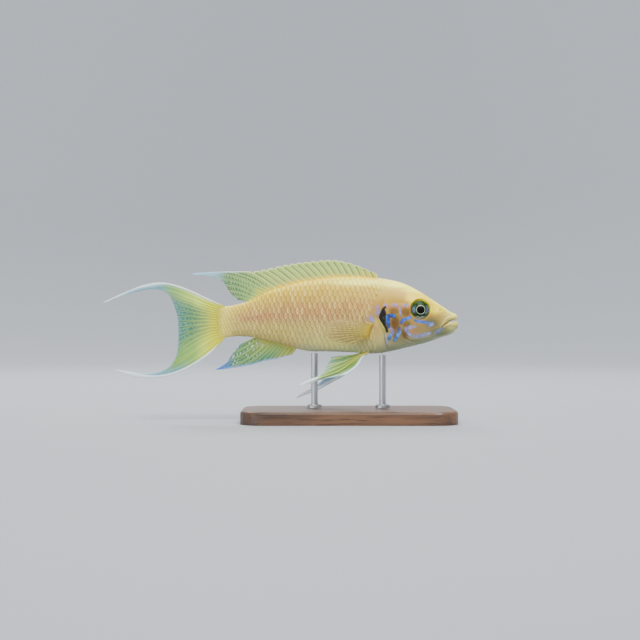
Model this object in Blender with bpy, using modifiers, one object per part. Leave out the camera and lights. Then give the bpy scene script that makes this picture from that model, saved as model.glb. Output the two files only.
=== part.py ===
"""Daffodil cichlid, a still life-size model on a display stand.

Stations run in millimetres from the snout tip (0) to the tail, and heights in millimetres from the
body's axis. Meshes are built in millimetres and turned into metres when they are done. In the scene
+X is towards the snout, +Y is the fish's left side and +Z is up. The origin is the middle of the
stand's foot.
"""

import functools
import math

import bmesh
import bpy
import numpy as np
from mathutils import Matrix, Vector

MM = 0.001

# The fish's main sizes, in millimetres.
STANDARD_LENGTH = 70.6
EYE_STATION = 11.3
EYE_HEIGHT = 3.5
EYE_RADIUS = 2.85
EYE_HALF_DEPTH = 1.5
EYE_PROUD = 0.75
GAP = 0.3

# The stand.
FOOT_TO_SNOUT = 33.0
BASE_LENGTH = 64.0
BASE_WIDTH = 34.0
BASE_THICKNESS = 4.0
BASE_CORNER = 7.0
BASE_EDGE = 0.8
ROD_STATIONS = {"stand_rod_front": 22.8, "stand_rod_rear": 43.2}
ROD_RADIUS = 1.0
ROD_COLLAR_RADIUS = 2.2
ROD_COLLAR_HEIGHT = 1.0
LOWEST_FIN_TIP = -23.3
FIN_TO_BASE = 3.0
AXIS_HEIGHT = BASE_THICKNESS + FIN_TO_BASE - LOWEST_FIN_TIP

# Side view of the body: (station, height) along the back and the belly.
BACK = [(0, -0.1), (0.7, 1.45), (2.7, 2.95), (5.7, 5.0), (9.5, 7.5), (13.4, 9.9), (17.2, 11.65), (21, 12.6),
        (26, 13.2), (34, 13.5), (40, 13.1), (46, 12.2), (52, 10.75), (57.5, 8.85), (62.6, 6.3),
        (66, 5.2), (STANDARD_LENGTH, 4.6)]
BELLY = [(0, -0.1), (0.7, -2.1), (3, -3.85), (7.7, -5.9), (13.4, -7.55), (18, -8.75), (23, -9.75),
         (27, -10.0), (31, -9.65), (38, -9.35), (46, -9.05), (50, -8.1), (54, -6.85), (58, -6.0),
         (62, -5.05), (66, -4.75), (STANDARD_LENGTH, -5.3)]
# Half of the body's width, as seen from above, and how high the widest level lies.
HALF_WIDTH = [(0, 1.7), (1.5, 2.3), (4, 3.1), (8, 4.0), (12, 4.6), (17, 5.2), (23, 5.6), (30, 5.5),
              (38, 5.1), (46, 4.4), (54, 3.45), (62, 2.5), (67, 1.95), (STANDARD_LENGTH, 1.3)]
WIDEST_SHARE = [(0, 0.45), (8, 0.5), (16, 0.46), (26, 0.45), (40, 0.46), (55, 0.5), (STANDARD_LENGTH, 0.5)]
BACK_FULLNESS = 1.0
BELLY_FULLNESS = 0.82
NOSE_ROUNDING = 2.2

# The gill opening, as (degrees round the section from the back, station).
GILL_OPENING = [(0, 22.7), (35, 22.0), (58, 22.1), (76, 23.5), (88, 24.3), (100, 23.2), (114, 22.4),
                (132, 22.0), (150, 21.0), (165, 19.2), (180, 17.6)]
GILL_BLEND_FROM = 13.0
GILL_BLEND_TO = 31.0
GILL_STEP = 0.4
GILL_STEP_LENGTH = 2.6
TORSO_END = 63.2

# The mouth: the inner edges of the lips in the side view, from the middle of the front to the corner,
# then where each lip meets the face, as a station behind its edge and a height from it.
UPPER_LIP = [(0.75, 0.65), (1.6, 0.5), (2.9, 0.15), (4.3, -0.95), (5.4, -2.0)]
LOWER_LIP = [(0.5, -0.1), (1.6, -0.2), (2.9, -0.25), (4.3, -1.15), (5.4, -2.0)]
LIP_DEPTH = {"upper": [(0, 0.6, 1.3), (0.35, 0.75, 1.1), (0.75, 0.75, 0.75), (1, 0.7, -0.3)],
             "lower": [(0, 0.45, -1.7), (0.35, 0.5, -1.4), (0.75, 0.6, -1.05), (1, 0.7, -0.3)]}
LIP_ROLL = [(0, 0.62), (0.4, 0.5), (0.8, 0.36), (1, 0.2)]
LIP_STEPS = 6
MOUTH_INSET = 0.9
MOUTH_END = (4.3, 0.0, -0.5)
MOUTH_STEPS = (0.4, 0.1)
CORNER_ANGLE = math.radians(112)
NOSTRIL = (5.6, 3.2)
NOSTRIL_RADIUS = 0.42
ORBIT_RADIUS = 3.5
ORBIT_WIDTH = 0.5
ORBIT_RISE = 0.22

FACE_STEPS = 11
HEAD_STATIONS = (8.6, 9.4, 10.2, 11.1, 12.0, 12.9, 13.8, 15.2, 16.8, 18.4, 20.0, 21.6, 22.7)
TORSO_STEPS = 16
TAIL_STEPS = 6
HEAD_COLUMNS = 44
BODY_COLUMNS = 36

# Fins. A membrane's and a ray's thickness go from the root to the outer edge.
MEMBRANE = (0.7, 0.5)
RAY = (1.15, 0.62)
PAIRED_MEMBRANE = (0.6, 0.45)
PAIRED_RAY = (0.85, 0.55)
RAY_SHARE = 0.24
EDGE_OFFSET = 0.26

COLOURS = {
    "skin": ((0.72, 0.55, 0.32), 0.45, 0.0),
    "fin": ((0.76, 0.74, 0.36), 0.4, 0.0),
    "eye": ((0.03, 0.04, 0.035), 0.12, 0.0),
    "stand_base": ((0.06, 0.045, 0.035), 0.5, 0.0),
    "stand_rod": ((0.62, 0.62, 0.63), 0.3, 1.0),
}


def hermite(knots, values, at, slopes_at=lambda knots, values: np.gradient(values, knots, axis=0)):
    """Smooth curve through the values at the knots, read at one place or at several."""
    knots, values = np.asarray(knots, float), np.asarray(values, float)
    slopes = slopes_at(knots, values)
    at = np.clip(np.asarray(at, float), knots[0], knots[-1])
    left = np.clip(np.searchsorted(knots, at, side="right") - 1, 0, len(knots) - 2)
    step = knots[left + 1] - knots[left]
    share = (at - knots[left]) / step
    if values.ndim > 1 and share.ndim:
        share, step = share[:, None], step[:, None]
    square, cube = share ** 2, share ** 3
    return ((2 * cube - 3 * square + 1) * values[left] + (cube - 2 * square + share) * step * slopes[left]
            + (3 * square - 2 * cube) * values[left + 1] + (cube - square) * step * slopes[left + 1])


def limited(knots, values):
    """Slopes at the knots, kept low enough that a curve through the values never overshoots them."""
    steps = np.diff(values, axis=0) / np.diff(knots)[:, None]
    slopes = np.gradient(values, knots, axis=0)
    least = 2 * np.minimum(np.abs(steps[:-1]), np.abs(steps[1:]))
    same_way = np.sign(steps[:-1]) == np.sign(steps[1:])
    slopes[1:-1] = np.where(same_way, np.sign(slopes[1:-1]) * np.minimum(np.abs(slopes[1:-1]), least), 0)
    return slopes


def profile(points, station):
    return float(hermite([p[0] for p in points], [p[1] for p in points], station))


def scene_point(station, side, height):
    """A point of the scene from a station, a distance to the fish's left and a height."""
    return Vector((FOOT_TO_SNOUT - station, side, AXIS_HEIGHT + height))


def section(station):
    """(back, belly, widest level, half width) of the body at a station."""
    back, belly = profile(BACK, station), profile(BELLY, station)
    level = belly + profile(WIDEST_SHARE, station) * (back - belly)
    rounding = 1.0
    if station < NOSE_ROUNDING:
        rounding = math.sqrt(1 - (1 - station / NOSE_ROUNDING) ** 2)
    return back, belly, level, profile(HALF_WIDTH, station) * rounding


def flank(station, angle, inset=0.0):
    """(station, side, height) on the skin. The angle goes from the back, 0, down the left side to pi."""
    back, belly, level, half = section(station)
    across, up = math.sin(angle), math.cos(angle)
    fullness = BACK_FULLNESS if up > 0 else BELLY_FULLNESS
    side = math.copysign(abs(across) ** fullness, across) * (half - inset)
    reach = back - level if up > 0 else level - belly
    return station, side, level + up * (reach - inset)


def angle_at_height(station, height):
    back, belly, level, _ = section(station)
    reach = back - level if height > level else level - belly
    return math.acos(max(-1.0, min(1.0, (height - level) / reach)))


def belly_angle_at_side(station, side):
    half = section(station)[3]
    return math.pi - math.asin(min(1.0, side / half) ** (1 / BELLY_FULLNESS))


def outward(station, angle):
    """Outward normal of the skin at a station and angle, in (station, side, height)."""
    small = 0.05
    along = np.subtract(flank(station + small, angle), flank(station - small, angle))
    around = np.subtract(flank(station, angle + small), flank(station, angle - small))
    normal = np.cross(along, around)
    return normal / np.linalg.norm(normal)


def orbit_relief(station, height):
    """How far the rim of the orbit stands out from the head."""
    away = math.hypot(station - EYE_STATION, height - EYE_HEIGHT) - ORBIT_RADIUS
    return ORBIT_RISE * math.exp(-((away / ORBIT_WIDTH) ** 2))


@functools.cache
def lip_line(word):
    """Points along the inner edge of a lip, from the middle to the corner, and the way run to each."""
    line = UPPER_LIP if word == "upper" else LOWER_LIP
    start = line[0][0]
    stations = np.linspace(start, line[-1][0], 60)
    sides = [MOUTH_INSET * section(s - start)[3] for s in stations]
    edge = np.array([(s, side, profile(line, s)) for s, side in zip(stations, sides)])
    run = np.concatenate([[0], np.cumsum(np.linalg.norm(np.diff(edge, axis=0), axis=1))])
    return edge, run


def lip_edge(share, word):
    """The inner edge of a lip, at a share of its way from the middle to the corner of the mouth."""
    edge, run = lip_line(word)
    return np.array([np.interp(share * run[-1], run, column) for column in edge.T])


@functools.cache
def lip_root(share, word):
    """(station, angle) where a lip meets the face, outside its inner edge."""
    edge = lip_edge(share, word)
    behind, away = hermite([d[0] for d in LIP_DEPTH[word]], [d[1:] for d in LIP_DEPTH[word]], share)
    middle = 0.0 if word == "upper" else math.pi
    if share == 0:
        return edge[0] + behind, middle
    return edge[0] + behind, angle_at_height(edge[0] + behind, edge[2] + away)


def lip_point(share, word, turn):
    """A point on the rounded lip, from its inner edge, turn 0, over its front to the face, turn 1."""
    inner, root = lip_edge(share, word), lip_root(share, word)
    outer = np.array(flank(*root))
    chord = outer - inner
    ahead = outward(*root) + np.array((share - 1, 0, 0))
    ahead -= chord * ahead.dot(chord) / chord.dot(chord)
    ahead /= np.linalg.norm(ahead)
    middle = (inner + outer) / 2
    roll = profile(LIP_ROLL, share) * math.sin(math.pi * turn)
    return middle - chord / 2 * math.cos(math.pi * turn) + ahead * roll


def lip_share(angle):
    """(share of the way to the mouth's corner, which lip) for a column at an angle round the head."""
    angle = abs(angle)
    if angle <= CORNER_ANGLE:
        return angle / CORNER_ANGLE, "upper"
    return (math.pi - angle) / (math.pi - CORNER_ANGLE), "lower"


def material(slot):
    made = bpy.data.materials.get(slot)
    if made:
        return made
    colour, roughness, metallic = COLOURS[slot]
    made = bpy.data.materials.new(slot)
    made.use_nodes = True
    shader = made.node_tree.nodes["Principled BSDF"]
    shader.inputs["Base Color"].default_value = (*colour, 1)
    shader.inputs["Roughness"].default_value = roughness
    shader.inputs["Metallic"].default_value = metallic
    return made


def add_object(name, mesh, slot, collection):
    made = bpy.data.objects.new(name, mesh)
    made.data.materials.append(material(slot))
    collection.objects.link(made)
    return made


def mesh_from(bm, name, smooth=True):
    """A mesh in metres from a bmesh in millimetres."""
    bmesh.ops.recalc_face_normals(bm, faces=bm.faces[:])
    if bm.calc_volume(signed=True) < 0:
        bmesh.ops.reverse_faces(bm, faces=bm.faces[:])
    bmesh.ops.scale(bm, vec=(MM, MM, MM), verts=bm.verts[:])
    mesh = bpy.data.meshes.new(name)
    bm.to_mesh(mesh)
    bm.free()
    if smooth:
        mesh.shade_smooth()
    return mesh


def loft(name, rings, front, back, collection):
    """Closed flesh through rings of points from front to back, with a fan to a point at each end."""
    bm = bmesh.new()
    loops = [[bm.verts.new(scene_point(*p)) for p in ring] for ring in rings]
    count = len(loops[0])
    for near, far in zip(loops, loops[1:]):
        for i in range(count):
            j = (i + 1) % count
            bm.faces.new((near[i], near[j], far[j]))
            bm.faces.new((near[i], far[j], far[i]))
    for loop, end in ((loops[0], front), (loops[-1], back)):
        centre = bm.verts.new(scene_point(*end))
        for i in range(count):
            bm.faces.new((loop[i], loop[(i + 1) % count], centre))
    return add_object(name, mesh_from(bm, name), "skin", collection)


def gill_station(angle):
    degrees = abs(math.degrees(angle))
    return profile(GILL_OPENING, degrees)


def mirrored(point, angle):
    """A point of the left side, or its mirror on the right where the angle is negative."""
    return np.array(point) * (1, math.copysign(1, angle), 1)


def mouth_rings(angles):
    """Rings from inside the mouth, over the lips and along the face to the first whole section."""
    rings = []
    for share in MOUTH_STEPS:
        ring = []
        for angle in angles:
            edge = lip_edge(*lip_share(angle))
            ring.append(mirrored(edge + share * (np.array(MOUTH_END) - edge), angle))
        rings.append(ring)
    for step in range(LIP_STEPS):
        rings.append([mirrored(lip_point(*lip_share(a), step / LIP_STEPS), a) for a in angles])
    for step in range(FACE_STEPS):
        share = (step / FACE_STEPS) ** 1.2
        ring = []
        for angle in angles:
            station, root = lip_root(*lip_share(angle))
            here = (station + share * (HEAD_STATIONS[0] - station), root + share * (abs(angle) - root))
            point = np.array(flank(*here))
            ring.append(mirrored(point + outward(*here) * orbit_relief(point[0], point[2]), angle))
        rings.append(ring)
    return rings


def head_ring(station, angles):
    """A ring of the head, which leans towards the gill opening as it nears it."""
    ring = []
    lean = max(0.0, (station - GILL_BLEND_FROM) / (HEAD_STATIONS[-1] - GILL_BLEND_FROM)) ** 1.5
    for angle in angles:
        here = station + lean * (gill_station(angle) - HEAD_STATIONS[-1])
        point = np.array(flank(here, angle))
        ring.append(point + outward(here, angle) * orbit_relief(here, point[2]))
    return ring


def section_angle(i, count):
    """The angle of column i, from -pi to pi, with the back at 0."""
    return -math.pi + 2 * math.pi * i / count


def torso_ring(share):
    """A ring of the torso, from the gill opening, share 0, to the flat end, share 1."""
    station = HEAD_STATIONS[-1] + GAP + share * (TORSO_END - HEAD_STATIONS[-1] - GAP)
    lean = max(0.0, (GILL_BLEND_TO - station) / (GILL_BLEND_TO - HEAD_STATIONS[-1] - GAP)) ** 1.2
    ring = []
    for i in range(BODY_COLUMNS):
        angle = section_angle(i, BODY_COLUMNS)
        here = station + lean * (gill_station(angle) - HEAD_STATIONS[-1])
        under_cover = max(0.0, 1 - (here - gill_station(angle)) / GILL_STEP_LENGTH)
        on_side = math.sin(abs(angle) / 2) ** 2
        ring.append(flank(here, angle, GILL_STEP * under_cover * on_side))
    return ring


def flesh(collection):
    """The head, torso and tail stalk, parted at the gill opening and behind the last fin rays."""
    neck = (HEAD_STATIONS[-1] - 1.2, 0, 1.5)
    angles = [section_angle(i, HEAD_COLUMNS) for i in range(HEAD_COLUMNS)]
    rings = mouth_rings(angles) + [head_ring(s, angles) for s in HEAD_STATIONS]
    head = loft("head", rings, MOUTH_END, neck, collection)
    shares = [0, 0.02, 0.05] + list(np.linspace(0.1, 1, TORSO_STEPS))
    end = (TORSO_END, 0, 0.5)
    loft("torso", [torso_ring(s) for s in shares], (neck[0] + GAP, 0, neck[2]), end, collection)
    stalk = np.linspace(TORSO_END + GAP, STANDARD_LENGTH - GAP, TAIL_STEPS)
    rings = [[flank(s, section_angle(i, BODY_COLUMNS)) for i in range(BODY_COLUMNS)] for s in stalk]
    loft("tail", rings, (stalk[0], 0, 0.5), (stalk[-1], 0, 0), collection)
    return head


def eye_matrix(side):
    """Placement of an eye: its short axis points out of the head."""
    angle = angle_at_height(EYE_STATION, EYE_HEIGHT) * side
    out = outward(EYE_STATION, angle)
    centre = np.array(flank(EYE_STATION, angle)) + out * (EYE_PROUD - EYE_HALF_DEPTH)
    turned = Vector((-out[0], out[1], out[2])).to_track_quat("Z", "Y").to_matrix().to_4x4()
    return Matrix.Translation(scene_point(*centre)) @ turned


def eyeball(name, side, grow):
    """A flattened ball the size of the eye, larger by grow all round."""
    bm = bmesh.new()
    bmesh.ops.create_uvsphere(bm, u_segments=24, v_segments=12, radius=1)
    size = Vector((EYE_RADIUS + grow, EYE_RADIUS + grow, EYE_HALF_DEPTH + grow))
    bmesh.ops.scale(bm, vec=size, verts=bm.verts[:])
    bm.transform(eye_matrix(side))
    return mesh_from(bm, name)


def add_cutter(name, mesh, cutters):
    cutter = bpy.data.objects.new(name, mesh)
    cutter.display_type = "WIRE"
    cutter.hide_render = True
    cutters.objects.link(cutter)
    return cutter


def cut(target, cutter):
    modifier = target.modifiers.new(cutter.name, "BOOLEAN")
    modifier.operation = "DIFFERENCE"
    modifier.object = cutter


def nostril_cutter(side, cutters):
    angle = angle_at_height(*NOSTRIL) * side
    bm = bmesh.new()
    bmesh.ops.create_icosphere(bm, subdivisions=2, radius=NOSTRIL_RADIUS)
    bm.transform(Matrix.Translation(scene_point(*flank(NOSTRIL[0], angle))))
    return add_cutter(f"nostril_cut_{side}", mesh_from(bm, "nostril_cut"), cutters)


def guide_point(guide, share):
    """The point at a share of the way along a smooth curve through a guide ray's points."""
    points = np.asarray(guide, float)
    if len(points) == 2:
        return points[0] + share * (points[1] - points[0])
    run = np.concatenate([[0], np.cumsum(np.linalg.norm(np.diff(points, axis=0), axis=1))])
    return hermite(run / run[-1], points, share)


def ray_curve(guides, ray, shares):
    """Points along any ray, at shares of its length, from the guide rays at both sides of it."""
    numbers = [g[0] for g in guides]
    return [hermite(numbers, [guide_point(g[1], share) for g in guides], ray, limited) for share in shares]


def fin_columns(first, last, notches, ends):
    """(ray number, whether a ray, share of its length) for each column, from ray first to ray last.

    ends says how the fin ends at each side: "ray" at the outer ray itself, "edge" with a thin edge
    outside it, and "parting" half way to a neighbouring node's first ray.
    """
    columns = []
    for ray in range(first, last + 1):
        columns.append((ray, True, 1.0))
        if ray < last:
            deep = notches(ray)
            columns.append((ray + RAY_SHARE, False, 1 - 0.25 * deep))
            columns.append((ray + 1 - RAY_SHARE, False, 1 - deep))
    outer = {"ray": [], "edge": [(0.0, False, 1.0)], "parting": [(0.5, False, 1.0)]}
    before = [(first - away, thick, length) for away, thick, length in outer[ends[0]]]
    after = [(last + away, thick, length) for away, thick, length in outer[ends[1]]]
    return before + columns + after


def away_from(beside, curve):
    """Unit directions at right angles to a curve, away from the curve beside it."""
    nearest = np.linalg.norm(curve[:, None] - beside[None], axis=2).argmin(axis=1)
    across = curve - beside[nearest]
    along = np.gradient(curve, axis=0)
    along /= np.linalg.norm(along, axis=1)[:, None]
    across -= along * (across * along).sum(axis=1)[:, None]
    return across / np.linalg.norm(across, axis=1)[:, None]


def fin(name, guides, first, last, rows, collection, notches=lambda ray: 0.0, ends=("edge", "edge"),
        rays=RAY, membrane=MEMBRANE, crowding=0.9):
    """A fin: a sheet through guide rays, thick at each ray and thin between, from its root to its edge.

    guides is a list of (ray number, points as (station, side, height)), and a crowding above 1 puts
    more rows near the root. The sheet is split into triangles before it is thickened, so that both
    faces are split alike.
    """
    columns = fin_columns(first, last, notches, ends)
    shares = np.linspace(0, 1, rows) ** crowding
    sheet = np.array([ray_curve(guides, ray, shares * length) for ray, _, length in columns])
    shifts = {"edge": EDGE_OFFSET, "parting": -GAP / 2}
    for end, outer, inner in ((ends[0], 0, 2), (ends[1], -1, -3)):
        if end in shifts:
            beside = np.array(ray_curve(guides, columns[inner][0], np.linspace(0, 1, 80)))
            sheet[outer] += shifts[end] * away_from(beside, sheet[outer])
    bm = bmesh.new()
    bmesh.ops.create_grid(bm, x_segments=len(columns) - 1, y_segments=rows - 1, size=1)
    thickest = max(rays + membrane)
    weight = bm.verts.layers.deform.new()
    for vert in bm.verts:
        c = round((vert.co.x + 1) / 2 * (len(columns) - 1))
        r = round((vert.co.y + 1) / 2 * (rows - 1))
        vert.co = scene_point(*sheet[c, r])
        root, edge = rays if columns[c][1] else membrane
        vert[weight][0] = (root + (edge - root) * shares[r] ** 0.6) / thickest
    bmesh.ops.triangulate(bm, faces=bm.faces[:], quad_method="FIXED")
    made = add_object(name, mesh_from(bm, name), "fin", collection)
    made.vertex_groups.new(name="thickness")
    solid = made.modifiers.new("thickness", "SOLIDIFY")
    solid.thickness = thickest * MM
    solid.offset = 0
    solid.vertex_group = "thickness"
    solid.use_even_offset = False


def bowed(root, tip, bow):
    """A ray from root to tip in the side view, bent upwards by bow at its middle."""
    middle = ((root[0] + tip[0]) / 2, (root[2] + tip[2]) / 2 + bow)
    return [root, (middle[0], (root[1] + tip[1]) / 2, middle[1]), tip]


# Dorsal fin: (ray number, root station, tip station, tip height, bow). Rays 18 to 21 make its long tip.
DORSAL_RAYS = 26
DORSAL_SPINES = 18
DORSAL = [(0, 24.1, 25.0, 14.3, 0.1), (2, 27.8, 29.3, 16.2, 0.2), (4, 31.5, 34.2, 17.8, 0.3),
          (6, 35.1, 38.4, 18.3, 0.3), (9, 40.4, 45.1, 17.8, 0.3), (11, 43.9, 49.3, 17.3, 0.3),
          (13, 47.5, 53.5, 16.5, 0.3), (15, 51.1, 58.1, 15.5, 0.3), (17, 54.5, 62.7, 14.9, 0.4),
          (18, 56.2, 68.0, 14.9, 0.9), (19, 57.1, 73.4, 14.7, 1.4), (20, 58.0, 79.6, 14.1, 1.7),
          (21, 58.9, 73.6, 13.3, 1.2), (22, 59.8, 70.4, 11.4, 0.7), (23, 60.8, 69.3, 9.6, 0.4),
          (24, 61.8, 68.0, 7.9, 0.2), (25, 62.7, 66.4, 6.7, 0.1)]


def dorsal_fin(collection):
    guides = []
    for ray, root, tip, height, bow in DORSAL:
        start = (root, 0, profile(BACK, root) + GAP)
        guides.append((ray, bowed(start, (tip, 0, height), bow)))

    def notches(ray):
        return 0.17 if 0 < ray < DORSAL_SPINES - 2 else 0.02

    fin("dorsal_fin", guides, 0, DORSAL_RAYS - 1, 7, collection, notches, ("ray", "ray"))


# Anal fin: the same, below the belly.
ANAL_RAYS = 13
ANAL_SPINES = 6
ANAL = [(0, 48.6, 50.3, -10.1, 0), (2, 50.9, 54.1, -11.3, -0.1), (5, 53.4, 58.9, -12.2, -0.2),
        (7, 55.2, 64.0, -13.5, -0.5), (8, 56.2, 68.6, -14.2, -0.9), (9, 57.2, 73.2, -14.7, -1.2),
        (10, 58.2, 69.6, -12.5, -0.6), (11, 59.3, 67.9, -9.9, -0.2), (12, 60.4, 65.8, -7.5, 0.1)]


def anal_fin(collection):
    guides = []
    for ray, root, tip, height, bow in ANAL:
        start = (root, 0, profile(BELLY, root) - GAP)
        guides.append((ray, bowed(start, (tip, 0, height), bow)))

    def notches(ray):
        return 0.12 if ray < ANAL_SPINES - 1 else 0.02

    fin("anal_fin", guides, 0, ANAL_RAYS - 1, 7, collection, notches, ("ray", "ray"))


# Tail fin: guide rays as (ray number, side-view points after the root), from the top edge down.
CAUDAL_RAYS = 17
CAUDAL_ROOT_TOP = 4.4
CAUDAL_ROOT_BOTTOM = -5.0
CAUDAL = [
    (0, [(76.1, 6.9), (81.8, 9.5), (86.8, 11.0), (89.9, 11.3), (93.8, 10.7), (99.1, 8.8), (106.6, 5.4)]),
    (1, [(76.2, 5.9), (81.6, 8.4), (86.3, 10.0), (89.7, 10.4), (93.5, 9.8), (98.4, 8.2)]),
    (2, [(76.6, 5.1), (82, 7.1), (86.5, 8.9), (91.4, 9.3)]),
    (3, [(76.6, 4.3), (81.9, 6.2), (87.3, 8.15)]),
    (4, [(76.7, 3.6), (81.8, 5.4), (86.4, 7.1)]),
    (6, [(77.5, 2.1), (85.0, 3.6)]),
    (8, [(77.5, 0.0), (84.1, -0.2)]),
    (10, [(77.5, -2.4), (84.0, -4.4)]),
    (12, [(76.6, -4.6), (81.1, -7.0), (84.5, -10.0)]),
    (14, [(76.0, -7.0), (81.5, -10.6), (86.2, -13.2)]),
    (15, [(76, -9.3), (81.0, -12.5), (86.4, -14.9), (93.0, -15.8)]),
    (16, [(73, -8.1), (76.1, -10.8), (80, -13.3), (83.8, -15.2), (88.3, -16.5), (92.2, -16.8), (96, -16.5),
          (99.1, -15.8), (102.8, -14.4)]),
]
CAUDAL_RAY = (2.1, 0.75)
CAUDAL_MEMBRANE = (1.8, 0.55)
STREAMER_RAY = (0.75, 0.5)
STREAMER_MEMBRANE = (0.55, 0.4)
CAUDAL_FLEX = 1.6
CAUDAL_PARTING = 8
# Each streamer: its leading ray, its inner ray, the station where it parts from the lobe, and the
# side view of its inner edge.
STREAMERS = {"upper": (0, 2, 87.5, [(90.5, 9.45), (94.0, 9.55), (98.2, 8.55), (102.3, 6.95), (106.4, 5.1)]),
             "lower": (16, 15, 86.4, [(90.0, -15.7), (93.3, -16.0), (97.3, -15.75), (102.6, -14.0)])}


def caudal_side(station, height):
    """The lobes bend a little to the left above and to the right below, as they do in easy swimming."""
    away = max(0.0, (station - STANDARD_LENGTH) / 36)
    return CAUDAL_FLEX * away ** 2 * math.tanh(height / 6)


def part_rays(guides, first, last, station):
    """Each ray's curve, with those from first to last cut short at the station, and what is cut from them."""
    shares = np.linspace(0, 1, 25)
    kept, parted = [], {}
    for ray in range(CAUDAL_RAYS):
        curve = np.array(ray_curve(guides, ray, shares))
        if first <= ray <= last:
            ends = {}
            for side in (-1, 1):
                share = np.interp(station + side * GAP / 2, curve[:, 0], shares)
                ends[side] = ray_curve(guides, ray, [share])
            parted[ray] = np.vstack([ends[1], curve[curve[:, 0] > station + GAP]])
            curve = np.vstack([curve[curve[:, 0] < station - GAP], ends[-1]])
        kept.append((ray, curve))
    return kept, parted


def caudal_fin(collection):
    """The tail fin: an upper and a lower lobe, parted at the fork, each with its streamer parted from it."""
    guides = []
    for ray, points in CAUDAL:
        share = ray / (CAUDAL_RAYS - 1)
        root = (STANDARD_LENGTH, 0, CAUDAL_ROOT_TOP + share * (CAUDAL_ROOT_BOTTOM - CAUDAL_ROOT_TOP))
        guides.append((ray, [root] + [(s, caudal_side(s, h), h) for s, h in points]))
    lobes = {"upper": (0, CAUDAL_PARTING, ("edge", "parting")),
             "lower": (CAUDAL_PARTING + 1, CAUDAL_RAYS - 1, ("parting", "edge"))}
    for word, (first, last, ends) in lobes.items():
        leading, inner, station, edge = STREAMERS[word]
        lobe, parted = part_rays(guides, min(leading, inner), max(leading, inner), station)
        fin(f"caudal_fin_{word}", lobe, first, last, 9, collection, ends=ends,
            rays=CAUDAL_RAY, membrane=CAUDAL_MEMBRANE)
        edge = np.array([(s, caudal_side(s, h), h) for s, h in edge])
        streamer = [(0, parted[leading]), (1, np.vstack([parted[inner][:1], edge]))]
        fin(f"caudal_streamer_{word}", streamer, 0, 1, 12, collection,
            rays=STREAMER_RAY, membrane=STREAMER_MEMBRANE)


def stem(station, angle, side):
    """The first points of a paired fin's ray: straight out of the skin, before the ray bends back."""
    start = np.array(flank(station, angle * side))
    out = outward(station, angle * side)
    return [start + out * GAP, start + out * (GAP + 0.5), start + out * (GAP + 1.1) + (0.6, 0, 0)]


# Pectoral fins: roots from (station, height) on the flank, and each guide ray's outer end and its
# distance from the flank there.
PECTORAL_RAYS = 12
PECTORAL_ROOT = ((26.0, -0.9), (27.3, -4.9))
PECTORAL = [(0, 35.5, 0.4, 1.9), (3, 39.6, -0.7, 2.6), (6, 40.2, -3.0, 2.9), (9, 37.6, -5.9, 2.6),
            (11, 31.8, -7.0, 1.7)]
PECTORAL_SPREAD = {-1: 1.0, 1: 1.35}


def pectoral_fin(name, side, collection):
    guides = []
    for ray, station, height, away in PECTORAL:
        share = ray / (PECTORAL_RAYS - 1)
        (s0, h0), (s1, h1) = PECTORAL_ROOT
        root_station = s0 + share * (s1 - s0)
        angle = angle_at_height(root_station, h0 + share * (h1 - h0))
        points = stem(root_station, angle, side)
        for along in (0.2, 0.6, 1.0):
            here = root_station + 1.2 + along * (station - root_station - 1.2)
            level = points[0][2] + along * (height - points[0][2])
            skin = abs(flank(here, angle_at_height(here, level))[1])
            reach = 1.3 + along ** 0.8 * (away * PECTORAL_SPREAD[side] - 1.0)
            points.append((here, side * (skin + reach), level))
        guides.append((ray, points))
    fin(name, guides, 0, PECTORAL_RAYS - 1, 11, collection, lambda ray: 0.03, rays=PAIRED_RAY,
        membrane=PAIRED_MEMBRANE, crowding=1.6)


# Pelvic fins: roots from (station, side) under the belly, and each ray's tip as (station, side, height).
PELVIC_RAYS = 5
PELVIC_ROOT = ((27.1, 3.5), (28.3, 1.1))
PELVIC = {
    -1: [(0, (47.9, 6.6, -19.2)), (1, (43.2, 5.7, -17.1)), (2, (40.9, 5.0, -15.7)), (3, (39.6, 4.2, -13.4)),
         (4, (38.2, 3.4, -11.4))],
    1: [(0, (48.8, 7.6, -23.2)), (1, (42.2, 6.25, -19.2)), (2, (40.9, 5.6, -18.0)), (3, (39.8, 4.7, -15.2)),
        (4, (38.6, 3.8, -12.4))],
}


def pelvic_fin(name, side, collection):
    guides = []
    for ray, (station, out, height) in PELVIC[side]:
        share = ray / (PELVIC_RAYS - 1)
        (s0, y0), (s1, y1) = PELVIC_ROOT
        root_station = s0 + share * (s1 - s0)
        angle = belly_angle_at_side(root_station, y0 + share * (y1 - y0))
        points = stem(root_station, angle, side)
        tip = np.array((station, side * out, height))
        middle = points[-1] + 0.45 * (tip - points[-1]) + (-0.4, 0, -0.6 * (1 - share))
        guides.append((ray, points + [middle, tip]))
    fin(name, guides, 0, PELVIC_RAYS - 1, 12, collection, lambda ray: 0.04, rays=PAIRED_RAY,
        membrane=PAIRED_MEMBRANE, crowding=1.6)


def stand_base(collection):
    """A flat rectangular foot with round corners and a softened edge."""
    bm = bmesh.new()
    bmesh.ops.create_cube(bm, size=1)
    bmesh.ops.scale(bm, vec=(BASE_LENGTH, BASE_WIDTH, BASE_THICKNESS), verts=bm.verts[:])
    bmesh.ops.translate(bm, vec=(0, 0, BASE_THICKNESS / 2), verts=bm.verts[:])
    upright = [e for e in bm.edges if abs(e.verts[0].co.z - e.verts[1].co.z) > 0.5 * BASE_THICKNESS]
    bmesh.ops.bevel(bm, geom=upright, offset=BASE_CORNER, segments=6, profile=0.5, affect="EDGES")
    top = [e for e in bm.edges if all(v.co.z > 0.9 * BASE_THICKNESS for v in e.verts)]
    bmesh.ops.bevel(bm, geom=top, offset=BASE_EDGE, segments=2, profile=0.5, affect="EDGES")
    add_object("stand_base", mesh_from(bm, "stand_base", smooth=False), "stand_base", collection)


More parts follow.
